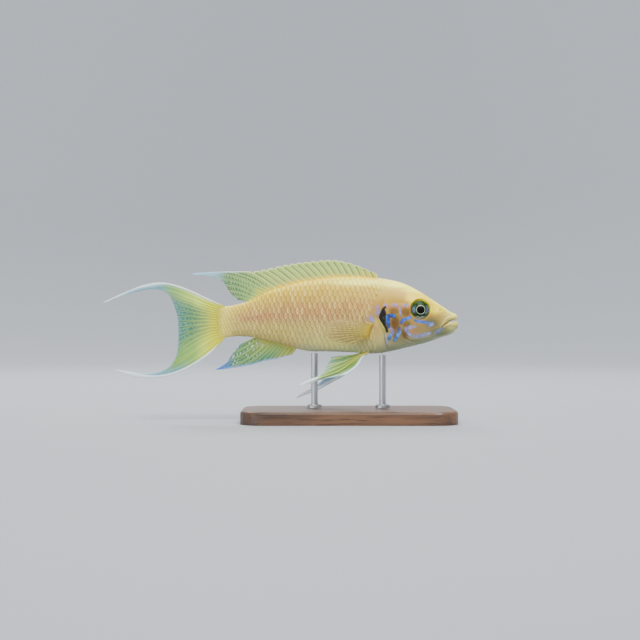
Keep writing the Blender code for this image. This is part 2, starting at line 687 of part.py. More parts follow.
def stand_rod(name, station, collection):
    """A turned rod with a collar on the base, up to the belly."""
    foot = BASE_THICKNESS + GAP
    edges = (station - ROD_RADIUS, station + ROD_RADIUS)
    top = AXIS_HEIGHT + min(profile(BELLY, s) for s in edges) - GAP
    collar = foot + ROD_COLLAR_HEIGHT
    outline = [(0, top), (ROD_RADIUS, top), (ROD_RADIUS, collar), (ROD_COLLAR_RADIUS - 0.3, collar),
               (ROD_COLLAR_RADIUS, collar - 0.3), (ROD_COLLAR_RADIUS, foot), (0, foot)]
    bm = bmesh.new()
    verts = [bm.verts.new((r, 0, z)) for r, z in outline]
    for near, far in zip(verts, verts[1:]):
        bm.edges.new((near, far))
    made = add_object(name, mesh_from(bm, name), "stand_rod", collection)
    made.location.x = (FOOT_TO_SNOUT - station) * MM
    turn = made.modifiers.new("turn", "SCREW")
    turn.steps = turn.render_steps = 20
    turn.use_merge_vertices = True
    turn.merge_threshold = 0.00001


def main():
    for old in list(bpy.data.objects):
        bpy.data.objects.remove(old)
    fish = bpy.data.collections.new("daffodil_cichlid")
    cutters = bpy.data.collections.new("cutters")
    for collection in (fish, cutters):
        bpy.context.scene.collection.children.link(collection)
    head = flesh(fish)
    for side, word in ((-1, "right"), (1, "left")):
        socket = add_cutter(f"socket_{word}", eyeball(f"socket_{word}", side, GAP), cutters)
        cut(head, socket)
        cut(head, nostril_cutter(side, cutters))
        add_object(f"eye_{word}", eyeball(f"eye_{word}", side, 0), "eye", fish)
        pectoral_fin(f"pectoral_fin_{word}", side, fish)
        pelvic_fin(f"pelvic_fin_{word}", side, fish)
    dorsal_fin(fish)
    anal_fin(fish)
    caudal_fin(fish)
    stand_base(fish)
    for name, station in ROD_STATIONS.items():
        stand_rod(name, station, fish)


main()
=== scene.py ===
# %% [markdown]
# # A daffodil cichlid on a display stand
# The fish is a slim lake cichlid, 71 mm long without its tail fin, with long tips on all its fins. Its
# plain solids are loaded as a fixed frame that shows where everything goes. Detail could be carved into
# them, but they have to stay simple. So new pieces are laid over them: one skin, two coats of scales,
# finer fins and real eyes. The stand keeps its own solids and only gets better finishes.

# %% Load the frame
import math

import bpy
import numpy as np
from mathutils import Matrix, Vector


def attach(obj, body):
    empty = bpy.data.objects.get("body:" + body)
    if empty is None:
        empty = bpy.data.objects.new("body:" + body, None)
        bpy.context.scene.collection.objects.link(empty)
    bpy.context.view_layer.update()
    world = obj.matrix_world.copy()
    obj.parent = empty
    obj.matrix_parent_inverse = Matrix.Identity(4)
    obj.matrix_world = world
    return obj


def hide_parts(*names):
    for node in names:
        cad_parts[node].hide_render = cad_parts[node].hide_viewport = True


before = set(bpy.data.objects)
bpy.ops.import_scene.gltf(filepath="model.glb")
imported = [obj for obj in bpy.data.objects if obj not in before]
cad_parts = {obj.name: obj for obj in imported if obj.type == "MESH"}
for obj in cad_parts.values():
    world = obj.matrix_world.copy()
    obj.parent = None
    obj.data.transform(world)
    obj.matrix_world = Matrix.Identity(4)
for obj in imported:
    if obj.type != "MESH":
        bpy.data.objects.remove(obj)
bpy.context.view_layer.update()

bpy.ops.object.select_all(action="DESELECT")
print("solids:", sorted(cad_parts))

# %% [markdown]
# Sizes are in millimetres: a station behind the tip of the snout, a distance to the fish's left side,
# and a height over the axis of its body. They could be the scene's own metres, but in this form each
# number can be read off a side view of the fish. One function turns them into metres. Outlines are
# smooth curves through a few named places, which are easier to change than long lists of points.

# %% Places and smooth curves
FOOT_TO_SNOUT = 33.0
AXIS_HEIGHT = 30.3
MM = 0.001


def scene_points(points):
    """(station, side, height) in millimetres as places in the scene, in metres."""
    points = np.asarray(points, float)
    return np.stack([FOOT_TO_SNOUT - points[..., 0], points[..., 1], AXIS_HEIGHT + points[..., 2]], -1) * MM


def smooth_curve(knots, values, at, gentle=False):
    """A smooth curve through values at knots. A gentle one never overshoots them."""
    knots, values, at = np.asarray(knots, float), np.asarray(values, float), np.asarray(at, float)
    slopes = np.gradient(values, knots, axis=0)
    if gentle:
        steps = np.diff(values, axis=0) / np.diff(knots)[:, None]
        least = 2 * np.minimum(abs(steps[:-1]), abs(steps[1:]))
        same = np.sign(steps[:-1]) == np.sign(steps[1:])
        slopes[1:-1] = np.where(same, np.sign(slopes[1:-1]) * np.minimum(abs(slopes[1:-1]), least), 0)
    at = np.clip(at, knots[0], knots[-1])
    left = np.clip(np.searchsorted(knots, at, side="right") - 1, 0, len(knots) - 2)
    step = knots[left + 1] - knots[left]
    t = (at - knots[left]) / step
    if values.ndim > 1 and t.ndim:
        t, step = t[..., None], step[..., None]
    return ((2 * t ** 3 - 3 * t ** 2 + 1) * values[left] + (t ** 3 - 2 * t ** 2 + t) * step * slopes[left]
            + (3 * t ** 2 - 2 * t ** 3) * values[left + 1] + (t ** 3 - t ** 2) * step * slopes[left + 1])


def profile(table, at):
    """A smooth curve through a table of (place, value)."""
    return smooth_curve([row[0] for row in table], [row[1] for row in table], at)


def ease(value, low, high):
    """0 below low, 1 above high and smooth between them. With low above high it runs the other way."""
    t = np.clip((value - low) / (high - low), 0, 1)
    return t * t * (3 - 2 * t)


print("tip of the snout, in metres:", scene_points((0, 0, 0)))

# %% [markdown]
# The fish is deepest behind its head and tapers to a slim tail stalk, and each of its cross-sections is
# an oval, widest near its middle. It could be sculpted, or lofted through drawn rings. Here four tables
# give its back, its belly, half its width and the level of its widest place, and a formula draws the
# oval. Skin, scales and fins all ask the same functions for their places, so they fit one another.

# %% The shape of the body
BACK = [(0, -0.1), (0.7, 1.45), (2.7, 2.95), (5.7, 5.0), (9.5, 7.5), (13.4, 9.9), (17.2, 11.65), (21, 12.6),
        (26, 13.2), (34, 13.5), (40, 13.1), (46, 12.2), (52, 10.75), (57.5, 8.85), (62.6, 6.3),
        (66, 5.2), (70.6, 4.6), (72.4, 4.75)]
BELLY = [(0, -0.1), (0.7, -2.1), (3, -3.85), (7.7, -5.9), (13.4, -7.55), (18, -8.75), (23, -9.75),
         (27, -10.0), (31, -9.65), (38, -9.35), (46, -9.05), (50, -8.1), (54, -6.85), (58, -6.0),
         (62, -5.05), (66, -4.75), (70.6, -5.3), (72.4, -5.7)]
HALF_WIDTH = [(0, 1.7), (1.5, 2.3), (4, 3.1), (8, 4.0), (12, 4.6), (17, 5.2), (23, 5.6), (30, 5.5),
              (38, 5.1), (46, 4.4), (54, 3.45), (62, 2.5), (67, 1.95), (70.6, 0.95), (72.4, 0.26)]
WIDEST_SHARE = [(0, 0.45), (8, 0.5), (16, 0.46), (26, 0.45), (40, 0.46), (55, 0.5), (72.2, 0.5)]
NOSE_ROUNDING = 2.2
BELLY_FULLNESS = 0.82
SKIN_DEPTH = [(0, 0.06), (11, 0.06), (19, 0.2), (72.2, 0.2)]
NUDGE = 0.05


def section(station):
    """Back, belly, widest level and half width at each station."""
    station = np.asarray(station, float)
    back, belly = profile(BACK, station), profile(BELLY, station)
    near = np.clip(1 - station / NOSE_ROUNDING, 0, 1)
    half = profile(HALF_WIDTH, station) * np.sqrt(1 - near ** 2)
    return back, belly, belly + profile(WIDEST_SHARE, station) * (back - belly), half


def skin_depth(station):
    """How far the skin lies inside the solids: a trace on the bare head, and a scale's height behind."""
    return np.interp(station, [row[0] for row in SKIN_DEPTH], [row[1] for row in SKIN_DEPTH])


def flank(station, angle, inset=None):
    """Points of the body. The angle goes from the back, 0, down the left side to pi."""
    inset = skin_depth(station) if inset is None else inset
    back, belly, level, half = section(station)
    across, up = np.sin(angle), np.cos(angle)
    fullness = np.where(up > 0, 1, BELLY_FULLNESS)
    side = np.sign(across) * np.abs(across) ** fullness * np.maximum(half - inset, 0)
    height = level + up * (np.where(up > 0, back - level, level - belly) - inset)
    return np.stack(np.broadcast_arrays(station, side, height), -1)


def outward(station, angle):
    """Directions straight out of the body, from its slope along and around."""
    along = flank(station + NUDGE, angle) - flank(station - NUDGE, angle)
    around = flank(station, angle + NUDGE) - flank(station, angle - NUDGE)
    normal = np.cross(along, around)
    return normal / np.linalg.norm(normal, axis=-1, keepdims=True)


def angle_at_height(station, height):
    """The angle round the body at which its surface has a height."""
    back, belly, level, _ = section(station)
    return np.arccos(np.clip((height - level) / np.where(height > level, back - level, level - belly), -1, 1))


print("deepest section:", round(float(np.ptp([profile(BACK, 30), profile(BELLY, 30)])), 1), "mm")

# %% [markdown]
# The gill cover is a flap of bone with a free edge, and a shallow step lies behind it. The edge isn't
# upright: it runs back to a blunt point at mid height and forward again to the throat. A cut or a very
# fine mesh could show it. Rings of skin that lean to follow the edge keep the step sharp with few faces.

# %% The edge of the gill cover
GILL_OPENING = [(0, 22.7), (35, 22.0), (58, 22.1), (76, 23.5), (88, 24.3), (100, 23.2), (114, 22.4),
                (132, 22.0), (150, 21.0), (165, 19.2), (180, 17.6)]
GILL_STATION = 22.7
GILL_DEPTH = 0.42
LEAN_FROM, LEAN_TO = 13, 31
FREE_BELOW, FREE_ABOVE = (56, 76), (181, 160)


def gill_station(angle):
    """The station of the cover's edge at each angle round the body."""
    return profile(GILL_OPENING, np.degrees(np.abs(angle)))


def leaning(station, angle):
    """The true station of a ring that leans towards the gill opening near it."""
    before = np.clip((station - LEAN_FROM) / (GILL_STATION - LEAN_FROM), 0, 1) ** 1.5
    behind = np.clip((LEAN_TO - station) / (LEAN_TO - GILL_STATION), 0, 1) ** 1.2
    lean = np.where(station < GILL_STATION, before, behind)
    return station + lean * (gill_station(angle) - GILL_STATION)


def open_share(angle):
    """How free the cover's edge stands: not at all over the nape, fully on the side."""
    degrees = np.degrees(np.abs(angle))
    return ease(degrees, *FREE_BELOW) * ease(degrees, *FREE_ABOVE)


print("the cover's edge reaches back to", round(max(float(row[1]) for row in GILL_OPENING), 1), "mm")

# %% [markdown]
# A fish's head is bone close under thin skin. The rim of the eye socket, the nostrils, the edges of the
# cheek bones and the fold of the throat show as soft ridges and grooves. They could be brushed on in
# sculpt mode. Here each is a height over the plain body, worked out from the distance to a point or a
# line of the side view, so both sides match and each one can be changed by a number.

# %% Ridges and grooves of the head
EYE_STATION, EYE_HEIGHT, EYE_RADIUS = 11.7, 3.5, 2.85
EYE_HALF_DEPTH, EYE_PROUD = 1.5, 0.75
NOSTRIL = (5.6, 3.2)
CHIN = (2.8, -3.9)


def distance_to_line(station, height, line):
    """Distance in the side view from each point to a line through given points."""
    best = np.full(np.shape(station), 1e9)
    for (s0, h0), (s1, h1) in zip(line, line[1:]):
        run, rise = s1 - s0, h1 - h0
        share = np.clip(((station - s0) * run + (height - h0) * rise) / (run ** 2 + rise ** 2), 0, 1)
        best = np.minimum(best, np.hypot(station - s0 - share * run, height - h0 - share * rise))
    return best


def bump(distance, width):
    """1 at no distance, and falling away on both sides like a soft hill."""
    return np.exp(-((distance / width) ** 2))


CHEEK_EDGE = [(15.2, 5.6), (16.6, 3.2), (17.3, 0.4), (17.5, -2.6), (16.6, -5.0), (14.4, -6.2), (11, -5.9),
              (8, -4.9)]
COVER_SEAM = [(18.4, -2.6), (20.0, -3.5), (21.6, -3.7)]
SNOUT_FOLD = [(6.1, -2.3), (7.4, -1.2), (8.9, -0.6)]
THROAT_FOLD = [(5, -4.2), (9, -5.6), (13.5, -6.9), (17.2, -7.7)]
TEMPLE = [(14.6, 4.6), (17.5, 5.6), (21.0, 5.4)]

# Each groove has its line, depth and width, each rim its height, radius and width, and each pit its depth
# and the distances at which it starts and is full.
GROOVES = [(CHEEK_EDGE, 0.13, 0.26), (COVER_SEAM, 0.1, 0.24), (SNOUT_FOLD, 0.09, 0.25),
           (THROAT_FOLD, 0.12, 0.28), (TEMPLE, 0.06, 0.4)]
EYE_RIM, NOSTRIL_RIM = (0.2, 3.3, 0.42), (0.1, 0.55, 0.2)
CHEEK_RIM, CHIN_SWELL = (0.07, 0.45, 0.35), (0.4, 0, 1.5)
EYE_PIT, NOSTRIL_PIT = (1.75, 3.02, 2.7), (0.5, 0.45, 0.22)


def relief(station, height):
    """Height of the head's relief over the plain body, in millimetres."""
    def rim(away, rise, radius, width):
        return rise * bump(away - radius, width)

    def pit(away, depth, start, full):
        return depth * ease(away, start, full)

    eye = np.hypot(station - EYE_STATION, height - EYE_HEIGHT)
    nostril = np.hypot(station - NOSTRIL[0], height - NOSTRIL[1])
    chin = np.hypot(station - CHIN[0], height - CHIN[1])
    cheek = distance_to_line(station, height, CHEEK_EDGE)
    rise = rim(eye, *EYE_RIM) + rim(nostril, *NOSTRIL_RIM) + rim(cheek, *CHEEK_RIM) + rim(chin, *CHIN_SWELL)
    rise -= pit(eye, *EYE_PIT) + pit(nostril, *NOSTRIL_PIT)
    for line, depth, width in GROOVES:
        rise -= depth * bump(distance_to_line(station, height, line), width)
    return rise


print("the rim of the eye stands out by", round(float(relief(EYE_STATION, EYE_HEIGHT + EYE_RIM[1])), 2), "mm")

# %% [markdown]
# The mouth is small and runs obliquely down, and each lip is a soft roll. Lips could be separate rolls set
# against the face, but a seam would show. So they are rings of the skin: it comes out of the mouth,
# turns over the roll and goes on as the face. The roll's inner edge is a line in the side view, and its
# root lies a little behind that and above or below it.

# %% The lips
UPPER_LIP = [(0.75, 0.5), (1.6, 0.4), (2.9, 0.15), (4.3, -0.95), (5.4, -2.0)]
LOWER_LIP = [(0.5, 0.0), (1.6, -0.08), (2.9, -0.2), (4.3, -1.15), (5.4, -2.0)]
UPPER_DEPTH = [(0, 0.6, 1.3), (0.35, 0.75, 1.1), (0.75, 0.75, 0.75), (1, 0.7, -0.3)]
LOWER_DEPTH = [(0, 0.45, -1.7), (0.35, 0.5, -1.4), (0.75, 0.6, -1.05), (1, 0.7, -0.3)]
LIP_ROLL = [(0, 0.6), (0.4, 0.48), (0.8, 0.34), (1, 0.18)]
CORNER_ANGLE = math.radians(112)
MOUTH_END = np.array((4.3, 0.0, -0.5))
MOUTH_WIDTH = 0.9


def lip_line(table, share):
    """Points of a lip's inner edge, at shares of its length from the middle to the mouth's corner."""
    start = table[0][0]
    stations = np.linspace(start, table[-1][0], 80)
    half = section(stations - start)[3]
    line = np.stack([stations, MOUTH_WIDTH * half, profile(table, stations)], -1)
    run = np.concatenate([[0], np.cumsum(np.linalg.norm(np.diff(line, axis=0), axis=1))])
    return np.stack([np.interp(share * run[-1], run, column) for column in line.T], -1)


def lip_places(angles):
    """For columns round the head: the share of the way to the mouth's corner, inner edge and root."""
    size = np.abs(angles)
    upper = size <= CORNER_ANGLE
    share = np.where(upper, size / CORNER_ANGLE, (math.pi - size) / (math.pi - CORNER_ANGLE))
    inner = np.where(upper[:, None], lip_line(UPPER_LIP, share), lip_line(LOWER_LIP, share))
    depths = [smooth_curve([d[0] for d in table], [d[1:] for d in table], share)
              for table in (UPPER_DEPTH, LOWER_DEPTH)]
    depth = np.where(upper[:, None], *depths)
    station = inner[:, 0] + depth[:, 0]
    root = angle_at_height(station, inner[:, 2] + depth[:, 1])
    root = np.where(share < 1e-6, np.where(upper, 0, math.pi), root)
    return share, inner, station, root


def lip_ring(angles, turn):
    """The roll of both lips, from the inner edge, turn 0, to the face, turn 1."""
    share, inner, station, root = lip_places(angles)
    outer = flank(station, root)
    outer += outward(station, root) * relief(station, outer[:, 2])[:, None]
    chord = outer - inner
    ahead = outward(station, root) + np.stack([share - 1, 0 * share, 0 * share], -1)
    ahead -= chord * ((ahead * chord).sum(-1) / (chord * chord).sum(-1))[:, None]
    ahead /= np.linalg.norm(ahead, axis=-1, keepdims=True)
    roll = profile(LIP_ROLL, share)[:, None] * math.sin(math.pi * turn)
    return (inner + outer) / 2 - chord / 2 * math.cos(math.pi * turn) + ahead * roll


print("the corner of the mouth lies at", UPPER_LIP[-1], "mm")

# %% [markdown]
# Every piece starts in the same way: a primitive is added with nothing else selected and gets its name,
# then its corners are moved or its modifiers applied. These steps could be written out for each piece.
# As helpers they are written once, and each piece shows only what is special about it.

# %% Helpers for all pieces
def new_piece(name, primitive, **size):
    """Adds a primitive with nothing else selected, and names it."""
    bpy.ops.object.select_all(action="DESELECT")
    primitive(**size)
    piece = bpy.context.object
    piece.name = piece.data.name = name
    return piece


def only(piece):
    """Selects one piece and nothing else, as each operator needs it."""
    bpy.ops.object.select_all(action="DESELECT")
    bpy.context.view_layer.objects.active = piece
    piece.select_set(True)


def edit(piece, *steps):
    """Runs edit-mode steps on all of a piece."""
    only(piece)
    bpy.ops.object.mode_set(mode="EDIT")
    bpy.ops.mesh.select_all(action="SELECT")
    for step in steps:
        step()
    bpy.ops.object.mode_set(mode="OBJECT")


def apply_modifiers(piece):
    only(piece)
    for modifier in list(piece.modifiers):
        bpy.ops.object.modifier_apply(modifier=modifier.name)


def smooth(piece):
    only(piece)
    bpy.ops.object.shade_smooth()


def corners(piece):
    places = np.empty(len(piece.data.vertices) * 3)
    piece.data.vertices.foreach_get("co", places)
    return places.reshape(-1, 3)


def move_corners(piece, places):
    piece.data.vertices.foreach_set("co", np.asarray(places, float).ravel())
    piece.data.update()


def add_numbers(piece, name, values):
    """Keeps four numbers on each corner of a piece, for its material to read."""
    kept = piece.data.attributes.new(name, "FLOAT_COLOR", "POINT")
    kept.data.foreach_set("color", np.asarray(values, np.float32).ravel())


def grid_piece(name, points):
    """A grid with one corner for each of the points, and the corner's row and column."""
    rows, columns = points.shape[:2]
    piece = new_piece(name, bpy.ops.mesh.primitive_grid_add, x_subdivisions=rows - 1,
                      y_subdivisions=columns - 1, size=2)
    flat = corners(piece)
    row = np.rint((flat[:, 0] + 1) / 2 * (rows - 1)).astype(int)
    column = np.rint((flat[:, 1] + 1) / 2 * (columns - 1)).astype(int)
    move_corners(piece, scene_points(points[row, column]))
    return piece, row, column


print("helpers:", [helper.__name__ for helper in (new_piece, edit, apply_modifiers, smooth, grid_piece)])

# %% [markdown]
# A fish's skin is one sheet without seams. It could be shrink-wrapped over the solids, but their gaps would
# show through. So a grid is added and each of its corners is moved: the grid's long way runs from
# inside the mouth, over the lips, along the head, down the step behind the gill cover and on to the
# root of the tail fin, and its short way goes once round the fish.

# %% The rings of the skin
COLUMNS = 176
MOUTH_DEPTHS = (0.85, 0.6, 0.38, 0.2, 0.08)
LIP_RINGS, FACE_RINGS, FLANK_RINGS = 12, 32, 122
FACE_END, CHEEK, FLANK_START, SKIN_END = 8.6, 14.6, 31, 72.4
CHEEK_STEP, COVER_STEP, BREAST_STEP = 0.15, 0.21, 0.27
GILL_STEPS = ((0.06, 0.06, 0.06), (0.1, 0.1, 0.18), (0.14, 0.1, 0.32), (0.18, 0.04, GILL_DEPTH))
around = np.linspace(-math.pi, math.pi, COLUMNS + 1)


def mirrored(points):
    """Puts each column's point on its own side of the fish."""
    points[..., 1] = np.abs(points[..., 1]) * np.where(around < 0, -1, 1)
    return points


def raised(station, angle):
    """Points of the head with its relief."""
    points = flank(station, angle)
    return points + outward(station, angle) * relief(station, points[:, 2])[:, None]


def skin_rings():
    """The rings' points, and for each point its station, angle and share of painted shade, which grows with
    the depth inside the mouth and also lies on the lips' inner edge and in the step behind the gill cover.
    """
    rings, places = [], []

    def add(points, station, angle, inside=0.0):
        rings.append(points)
        places.append([np.broadcast_to(part, around.shape) for part in (station, angle, inside)])

    share, inner, station, root = lip_places(around)
    # The last number of each ring is its share of painted shade: dark deep in the mouth and on the lips'
    # inner edge.
    for k in MOUTH_DEPTHS:
        add(mirrored(inner + k * (MOUTH_END - inner)), inner[:, 0], root, min(1, 0.35 + 1.6 * k))
    for turn in np.linspace(0, 1, LIP_RINGS + 1)[:-1]:
        add(mirrored(lip_ring(around, turn)), inner[:, 0], root, 0.35 * max(0, 1 - 5 * turn))
    for t in np.linspace(0, 1, FACE_RINGS + 1)[:-1] ** 1.15:
        here, angle = station + t * (FACE_END - station), root + t * (np.abs(around) - root)
        add(mirrored(raised(here, angle)), here, angle)
    cheek, cover = np.arange(FACE_END, CHEEK, CHEEK_STEP), np.arange(CHEEK, GILL_STATION, COVER_STEP)
    for ring in [*cheek, *cover, GILL_STATION]:
        here = leaning(ring, around)
        add(raised(here, around), here, around)
    free = open_share(around)
    # The step behind the gill cover gets painted shade where its edge stands free.
    for closed, opened, depth in GILL_STEPS:
        here = leaning(GILL_STATION, around) + closed + (opened - closed) * free
        add(flank(here, around, skin_depth(here) + depth * free), here, around, 0.4 * free)
    breast = np.arange(GILL_STATION + 0.22, FLANK_START, BREAST_STEP)
    for ring in [*breast, *np.linspace(FLANK_START, SKIN_END, FLANK_RINGS)]:
        here = leaning(ring, around)
        add(body_surface(here, around), here, around)
    return np.array(rings), np.array(places)


def body_surface(station, angle):
    """The skin behind the gill cover, which comes up from under it."""
    behind = station - gill_station(angle)
    under = np.clip(1 - behind / 2.6, 0, 1) ** 1.5 * ease(behind, -1.2, -0.6)
    return flank(station, angle, skin_depth(station) + GILL_DEPTH * under * open_share(angle))


rings, ring_places = skin_rings()
skin, ring_row, ring_column = grid_piece("fish_skin", rings)
print("skin rings:", rings.shape)

# %% [markdown]
# On the cheek and gill cover, short strokes of bright blue and lavender run between orange fields, and a
# black crescent lies on the cover before its pale edge. They could be painted on an image, but that
# would fix how fine they are. So each stroke is a line in the side view with a width, and every
# corner of a mesh keeps its share of each paint. Skin and scales can then carry the same strokes.

# %% The markings of the head
BLUE_STROKES = [([(21.8, 1.2), (21.2, 1.6), (20.3, 1.6), (19.6, 1.35)], 0.9),
                ([(21.5, 1.3), (21.45, 0.2), (21.15, -1.7)], 0.95),
                ([(17.4, -0.6), (17.2, 0.1), (16.4, 0.5), (15.2, 0.8), (14.6, 1.2)], 0.9),
                ([(13.4, 0.3), (12.4, -0.2), (11.0, -0.3), (9.8, -0.4), (8.9, -0.9)], 0.75),
                ([(17.9, -1.9), (18.1, -3.0), (18.5, -4.3), (19.3, -5.7)], 1.0),
                ([(20.4, -3.9), (20.9, -4.7), (21.0, -5.5)], 0.85)]
LAVENDER_STROKES = [([(20.9, -1.9), (20.1, -2.5), (19.9, -3.4), (20.6, -4.3), (21.2, -3.9)], 0.7),
                    ([(9.3, -0.8), (8.8, -1.2), (8.0, -0.9)], 0.95),
                    ([(13.1, -1.7), (14.6, -1.7), (15.9, -2.4), (15.4, -3.4), (14.3, -4.2)], 0.95),
                    ([(14.9, -4.1), (13.4, -4.5), (11.8, -4.5), (10.4, -4.1), (8.9, -3.6)], 0.95),
                    ([(7.4, -3.7), (6.2, -2.9), (5.2, -2.3)], 0.8), ([(19.9, 4.6), (19.0, 4.75)], 0.9),
                    ([(17.0, 4.6), (15.8, 4.75)], 0.8), ([(24.5, 4.3), (24.3, 3.0), (24.6, 2.3)], 1.1),
                    ([(22.4, 5.0), (21.9, 4.6)], 0.6), ([(17.6, 1.6), (17.7, 3.0), (18.0, 4.2)], 0.5),
                    ([(26.6, 1.1), (26.1, 0.3)], 1.1)]
BLACK_CRESCENT = [([(22.1, 4.2), (22.8, 3.4)], 0.9), ([(22.9, 3.2), (23.5, 2.2), (23.5, 1.1)], 2.5),
                  ([(23.5, 1.1), (23.1, 0.1), (22.5, -0.9)], 1.6),
                  ([(22.6, -0.8), (22.0, -1.9), (21.6, -3.2)], 0.8),
                  ([(22.5, 3.0), (22.3, 1.5), (22.2, 0.1)], 0.95)]

# Each field has its middle, its reach both ways and its strength.
ORANGE_FIELDS = [((16.1, 2.6), (2.0, 1.8), 0.85), ((19.3, -0.6), (1.9, 3.2), 1.0),
                 ((19.7, 2.9), (2.0, 1.4), 0.8), ((15.9, -1.0), (1.7, 1.3), 0.8),
                 ((11.6, -2.3), (3.4, 1.6), 0.15), ((16.4, -3.6), (1.6, 2.2), 0.85),
                 ((19.2, -3.6), (1.0, 2.2), 0.7), ((22.3, -2.8), (0.9, 2.6), 0.6),
                 ((18.4, 1.4), (3.4, 3.4), 0.42), ((18.0, -3.4), (3.2, 2.6), 0.4)]
YELLOW_FIELDS = [((10.8, 6.7), (4.8, 2.0), 1.0), ((7.2, 3.6), (2.8, 1.9), 1.0),
                 ((14.0, 7.0), (2.4, 2.4), 1.0)]
PINK_FIELDS = [((19.8, 4.3), (2.6, 1.3), 0.9), ((16.2, 4.2), (1.6, 1.2), 0.6),
               ((14.5, -3.0), (2.6, 1.5), 0.7), ((31.0, 4.5), (9.0, 2.6), 0.6),
               ((44.0, 3.0), (12.0, 2.8), 0.8), ((58.0, 1.2), (11.5, 2.0), 0.9),
               ((25.4, -3.0), (2.2, 3.0), 0.5)]
# The grey field at (5.5, 1.2), on the side of the snout, is painted shade that darkens the snout.
GREY_AND_SHADE_FIELDS = [((8.2, -0.6), (2.6, 2.0), 1.0), ((5.5, -3.2), (4.6, 1.9), 0.85),
               ((11.0, -6.0), (8.0, 1.4), 0.35), ((23.0, -8.6), (8.0, 2.2), 0.4),
               ((27.0, -6.6), (3.2, 2.2), 0.25), ((5.5, 1.2), (3.6, 1.5), 0.28),
               ((11.6, 0.5), (2.4, 0.7), 0.4), ((25.6, 0.5), (1.6, 4.0), 0.22)]
# The first two cream fields, along the back, are a painted highlight where the light from above falls.
CREAM_AND_HIGHLIGHT_FIELDS = [((29.0, 11.5), (10.0, 1.15), 1.0), ((18.0, 11.0), (9.0, 1.1), 0.9),
                ((12.4, 9.1), (4.6, 0.8), 0.8), ((24.8, -0.4), (0.9, 1.6), 0.2),
                ((36.5, -6.6), (6.5, 1.8), 0.4)]


def strokes(station, height, table):
    """Share of paint, 1 on a stroke and 0 off it. Strokes have uneven edges and thin out to their ends."""
    found = np.zeros(np.shape(station))
    uneven = 1 + 0.2 * np.sin(2.7 * station + 1.1) * np.sin(2.3 * height + 0.4)
    uneven += 0.16 * np.sin(7.1 * station + 0.3) * np.sin(6.3 * height + 1.9)
    for line, width in table:
        middle, reach = line[len(line) // 2], math.dist(line[0], line[-1]) / 2 + 0.8
        taper = 1 - 0.45 * np.clip(np.hypot(station - middle[0], height - middle[1]) / reach, 0, 1) ** 2
        away = distance_to_line(station, height, line) / (1.08 * width * uneven * taper)
        found = np.maximum(found, ease(away, 0.85, 0.2))
    return found


def fields(station, height, table):
    """Share of paint from soft oval patches."""
    found = np.zeros(np.shape(station))
    for middle, (along, up), strength in table:
        away = np.hypot((station - middle[0]) / along, (height - middle[1]) / up)
        found = np.maximum(found, strength * ease(away, 1.25, 0.3))
    return found


def markings(station, height, angle):
    """Blue, lavender, black and orange at each place."""
    gill = gill_station(angle)
    on_head = ease(station, gill + 0.25, gill - 0.05)
    blue = strokes(station, height, BLUE_STROKES) * on_head
    black = strokes(station, height, BLACK_CRESCENT) * ease(station, gill + 0.05, gill - 0.3)
    edge = 0.75 * bump(station - gill + 0.1, 0.4) * ease(height, -3.0, -4.5) * ease(height, -8, -6.5)
    lavender = np.clip(strokes(station, height, LAVENDER_STROKES) + edge, 0, 1) * (1 - black)
    orange = fields(station, height, ORANGE_FIELDS) * on_head
    return np.stack([blue, lavender, black * (1 - blue), orange], -1)


def tints(station, height, angle):
    """Yellow, pink, grey and cream at each place. The cream along the back is a painted highlight, and one
    grey field on the snout is painted shade. The cover's free edge is cream too.
    """
    yellow, pink, grey, cream = [fields(station, height, table) for table in
                                 (YELLOW_FIELDS, PINK_FIELDS, GREY_AND_SHADE_FIELDS, CREAM_AND_HIGHLIGHT_FIELDS)]
    edge = 0.8 * bump(station - gill_station(angle) + 0.12, 0.38)
    edge = edge * ease(height, 1.2, 0.0) * ease(height, -5.5, -4.0)
    return np.stack([yellow, pink, grey, np.maximum(cream, edge)], -1)


def paint_body(piece, station, angle, height, rim, tone):
    """Keeps on each corner the markings and the place on the body, as the materials read them."""
    add_numbers(piece, "marks", markings(station, height, angle))
    add_numbers(piece, "tints", tints(station, height, angle))
    share = np.abs(angle) / math.pi
    add_numbers(piece, "place", np.stack([station / 100, share, rim, tone], -1))


print("blue strokes:", len(BLUE_STROKES), "lavender:", len(LAVENDER_STROKES), "black:", len(BLACK_CRESCENT))

# %% [markdown]
# The skin's grid still has a seam under the belly, and it is open in the mouth and at the tail. Both holes
# are hidden and could stay, but only a closed skin has a clear inside and outside. So the markings are
# kept on its corners first, then the seam is merged and both ends are filled.

# %% Paint and close the skin
MIDDLE_TONE = 0.5
station_of, angle_of, painted_shade_of = ring_places[ring_row, :, ring_column].T
height_of = rings[ring_row, ring_column][:, 2]
paint_body(skin, station_of, angle_of, height_of, painted_shade_of, np.full(len(station_of), MIDDLE_TONE))
edit(skin, lambda: bpy.ops.mesh.remove_doubles(threshold=1e-6),
     lambda: bpy.ops.mesh.select_all(action="DESELECT"),
     lambda: bpy.ops.mesh.select_non_manifold(),
     lambda: bpy.ops.mesh.fill_holes(sides=0),
     lambda: bpy.ops.mesh.select_all(action="SELECT"),
     lambda: bpy.ops.mesh.normals_make_consistent(inside=False))
smooth(skin)
print("skin faces:", len(skin.data.polygons))

# %% [markdown]
# A scale is a thin round-ended plate. Its front is sunk in the skin under the scale before it, and its
# free rear edge stands a little proud. A bump pattern could fake them, but it has no real edges for the
# light to catch. So one plate is modelled from a grid with a Solidify wall, and an Array makes as many
# copies as there are places. Neighbouring rows are shifted by half a scale, as roof tiles are, and
# small random shifts keep them from looking printed.

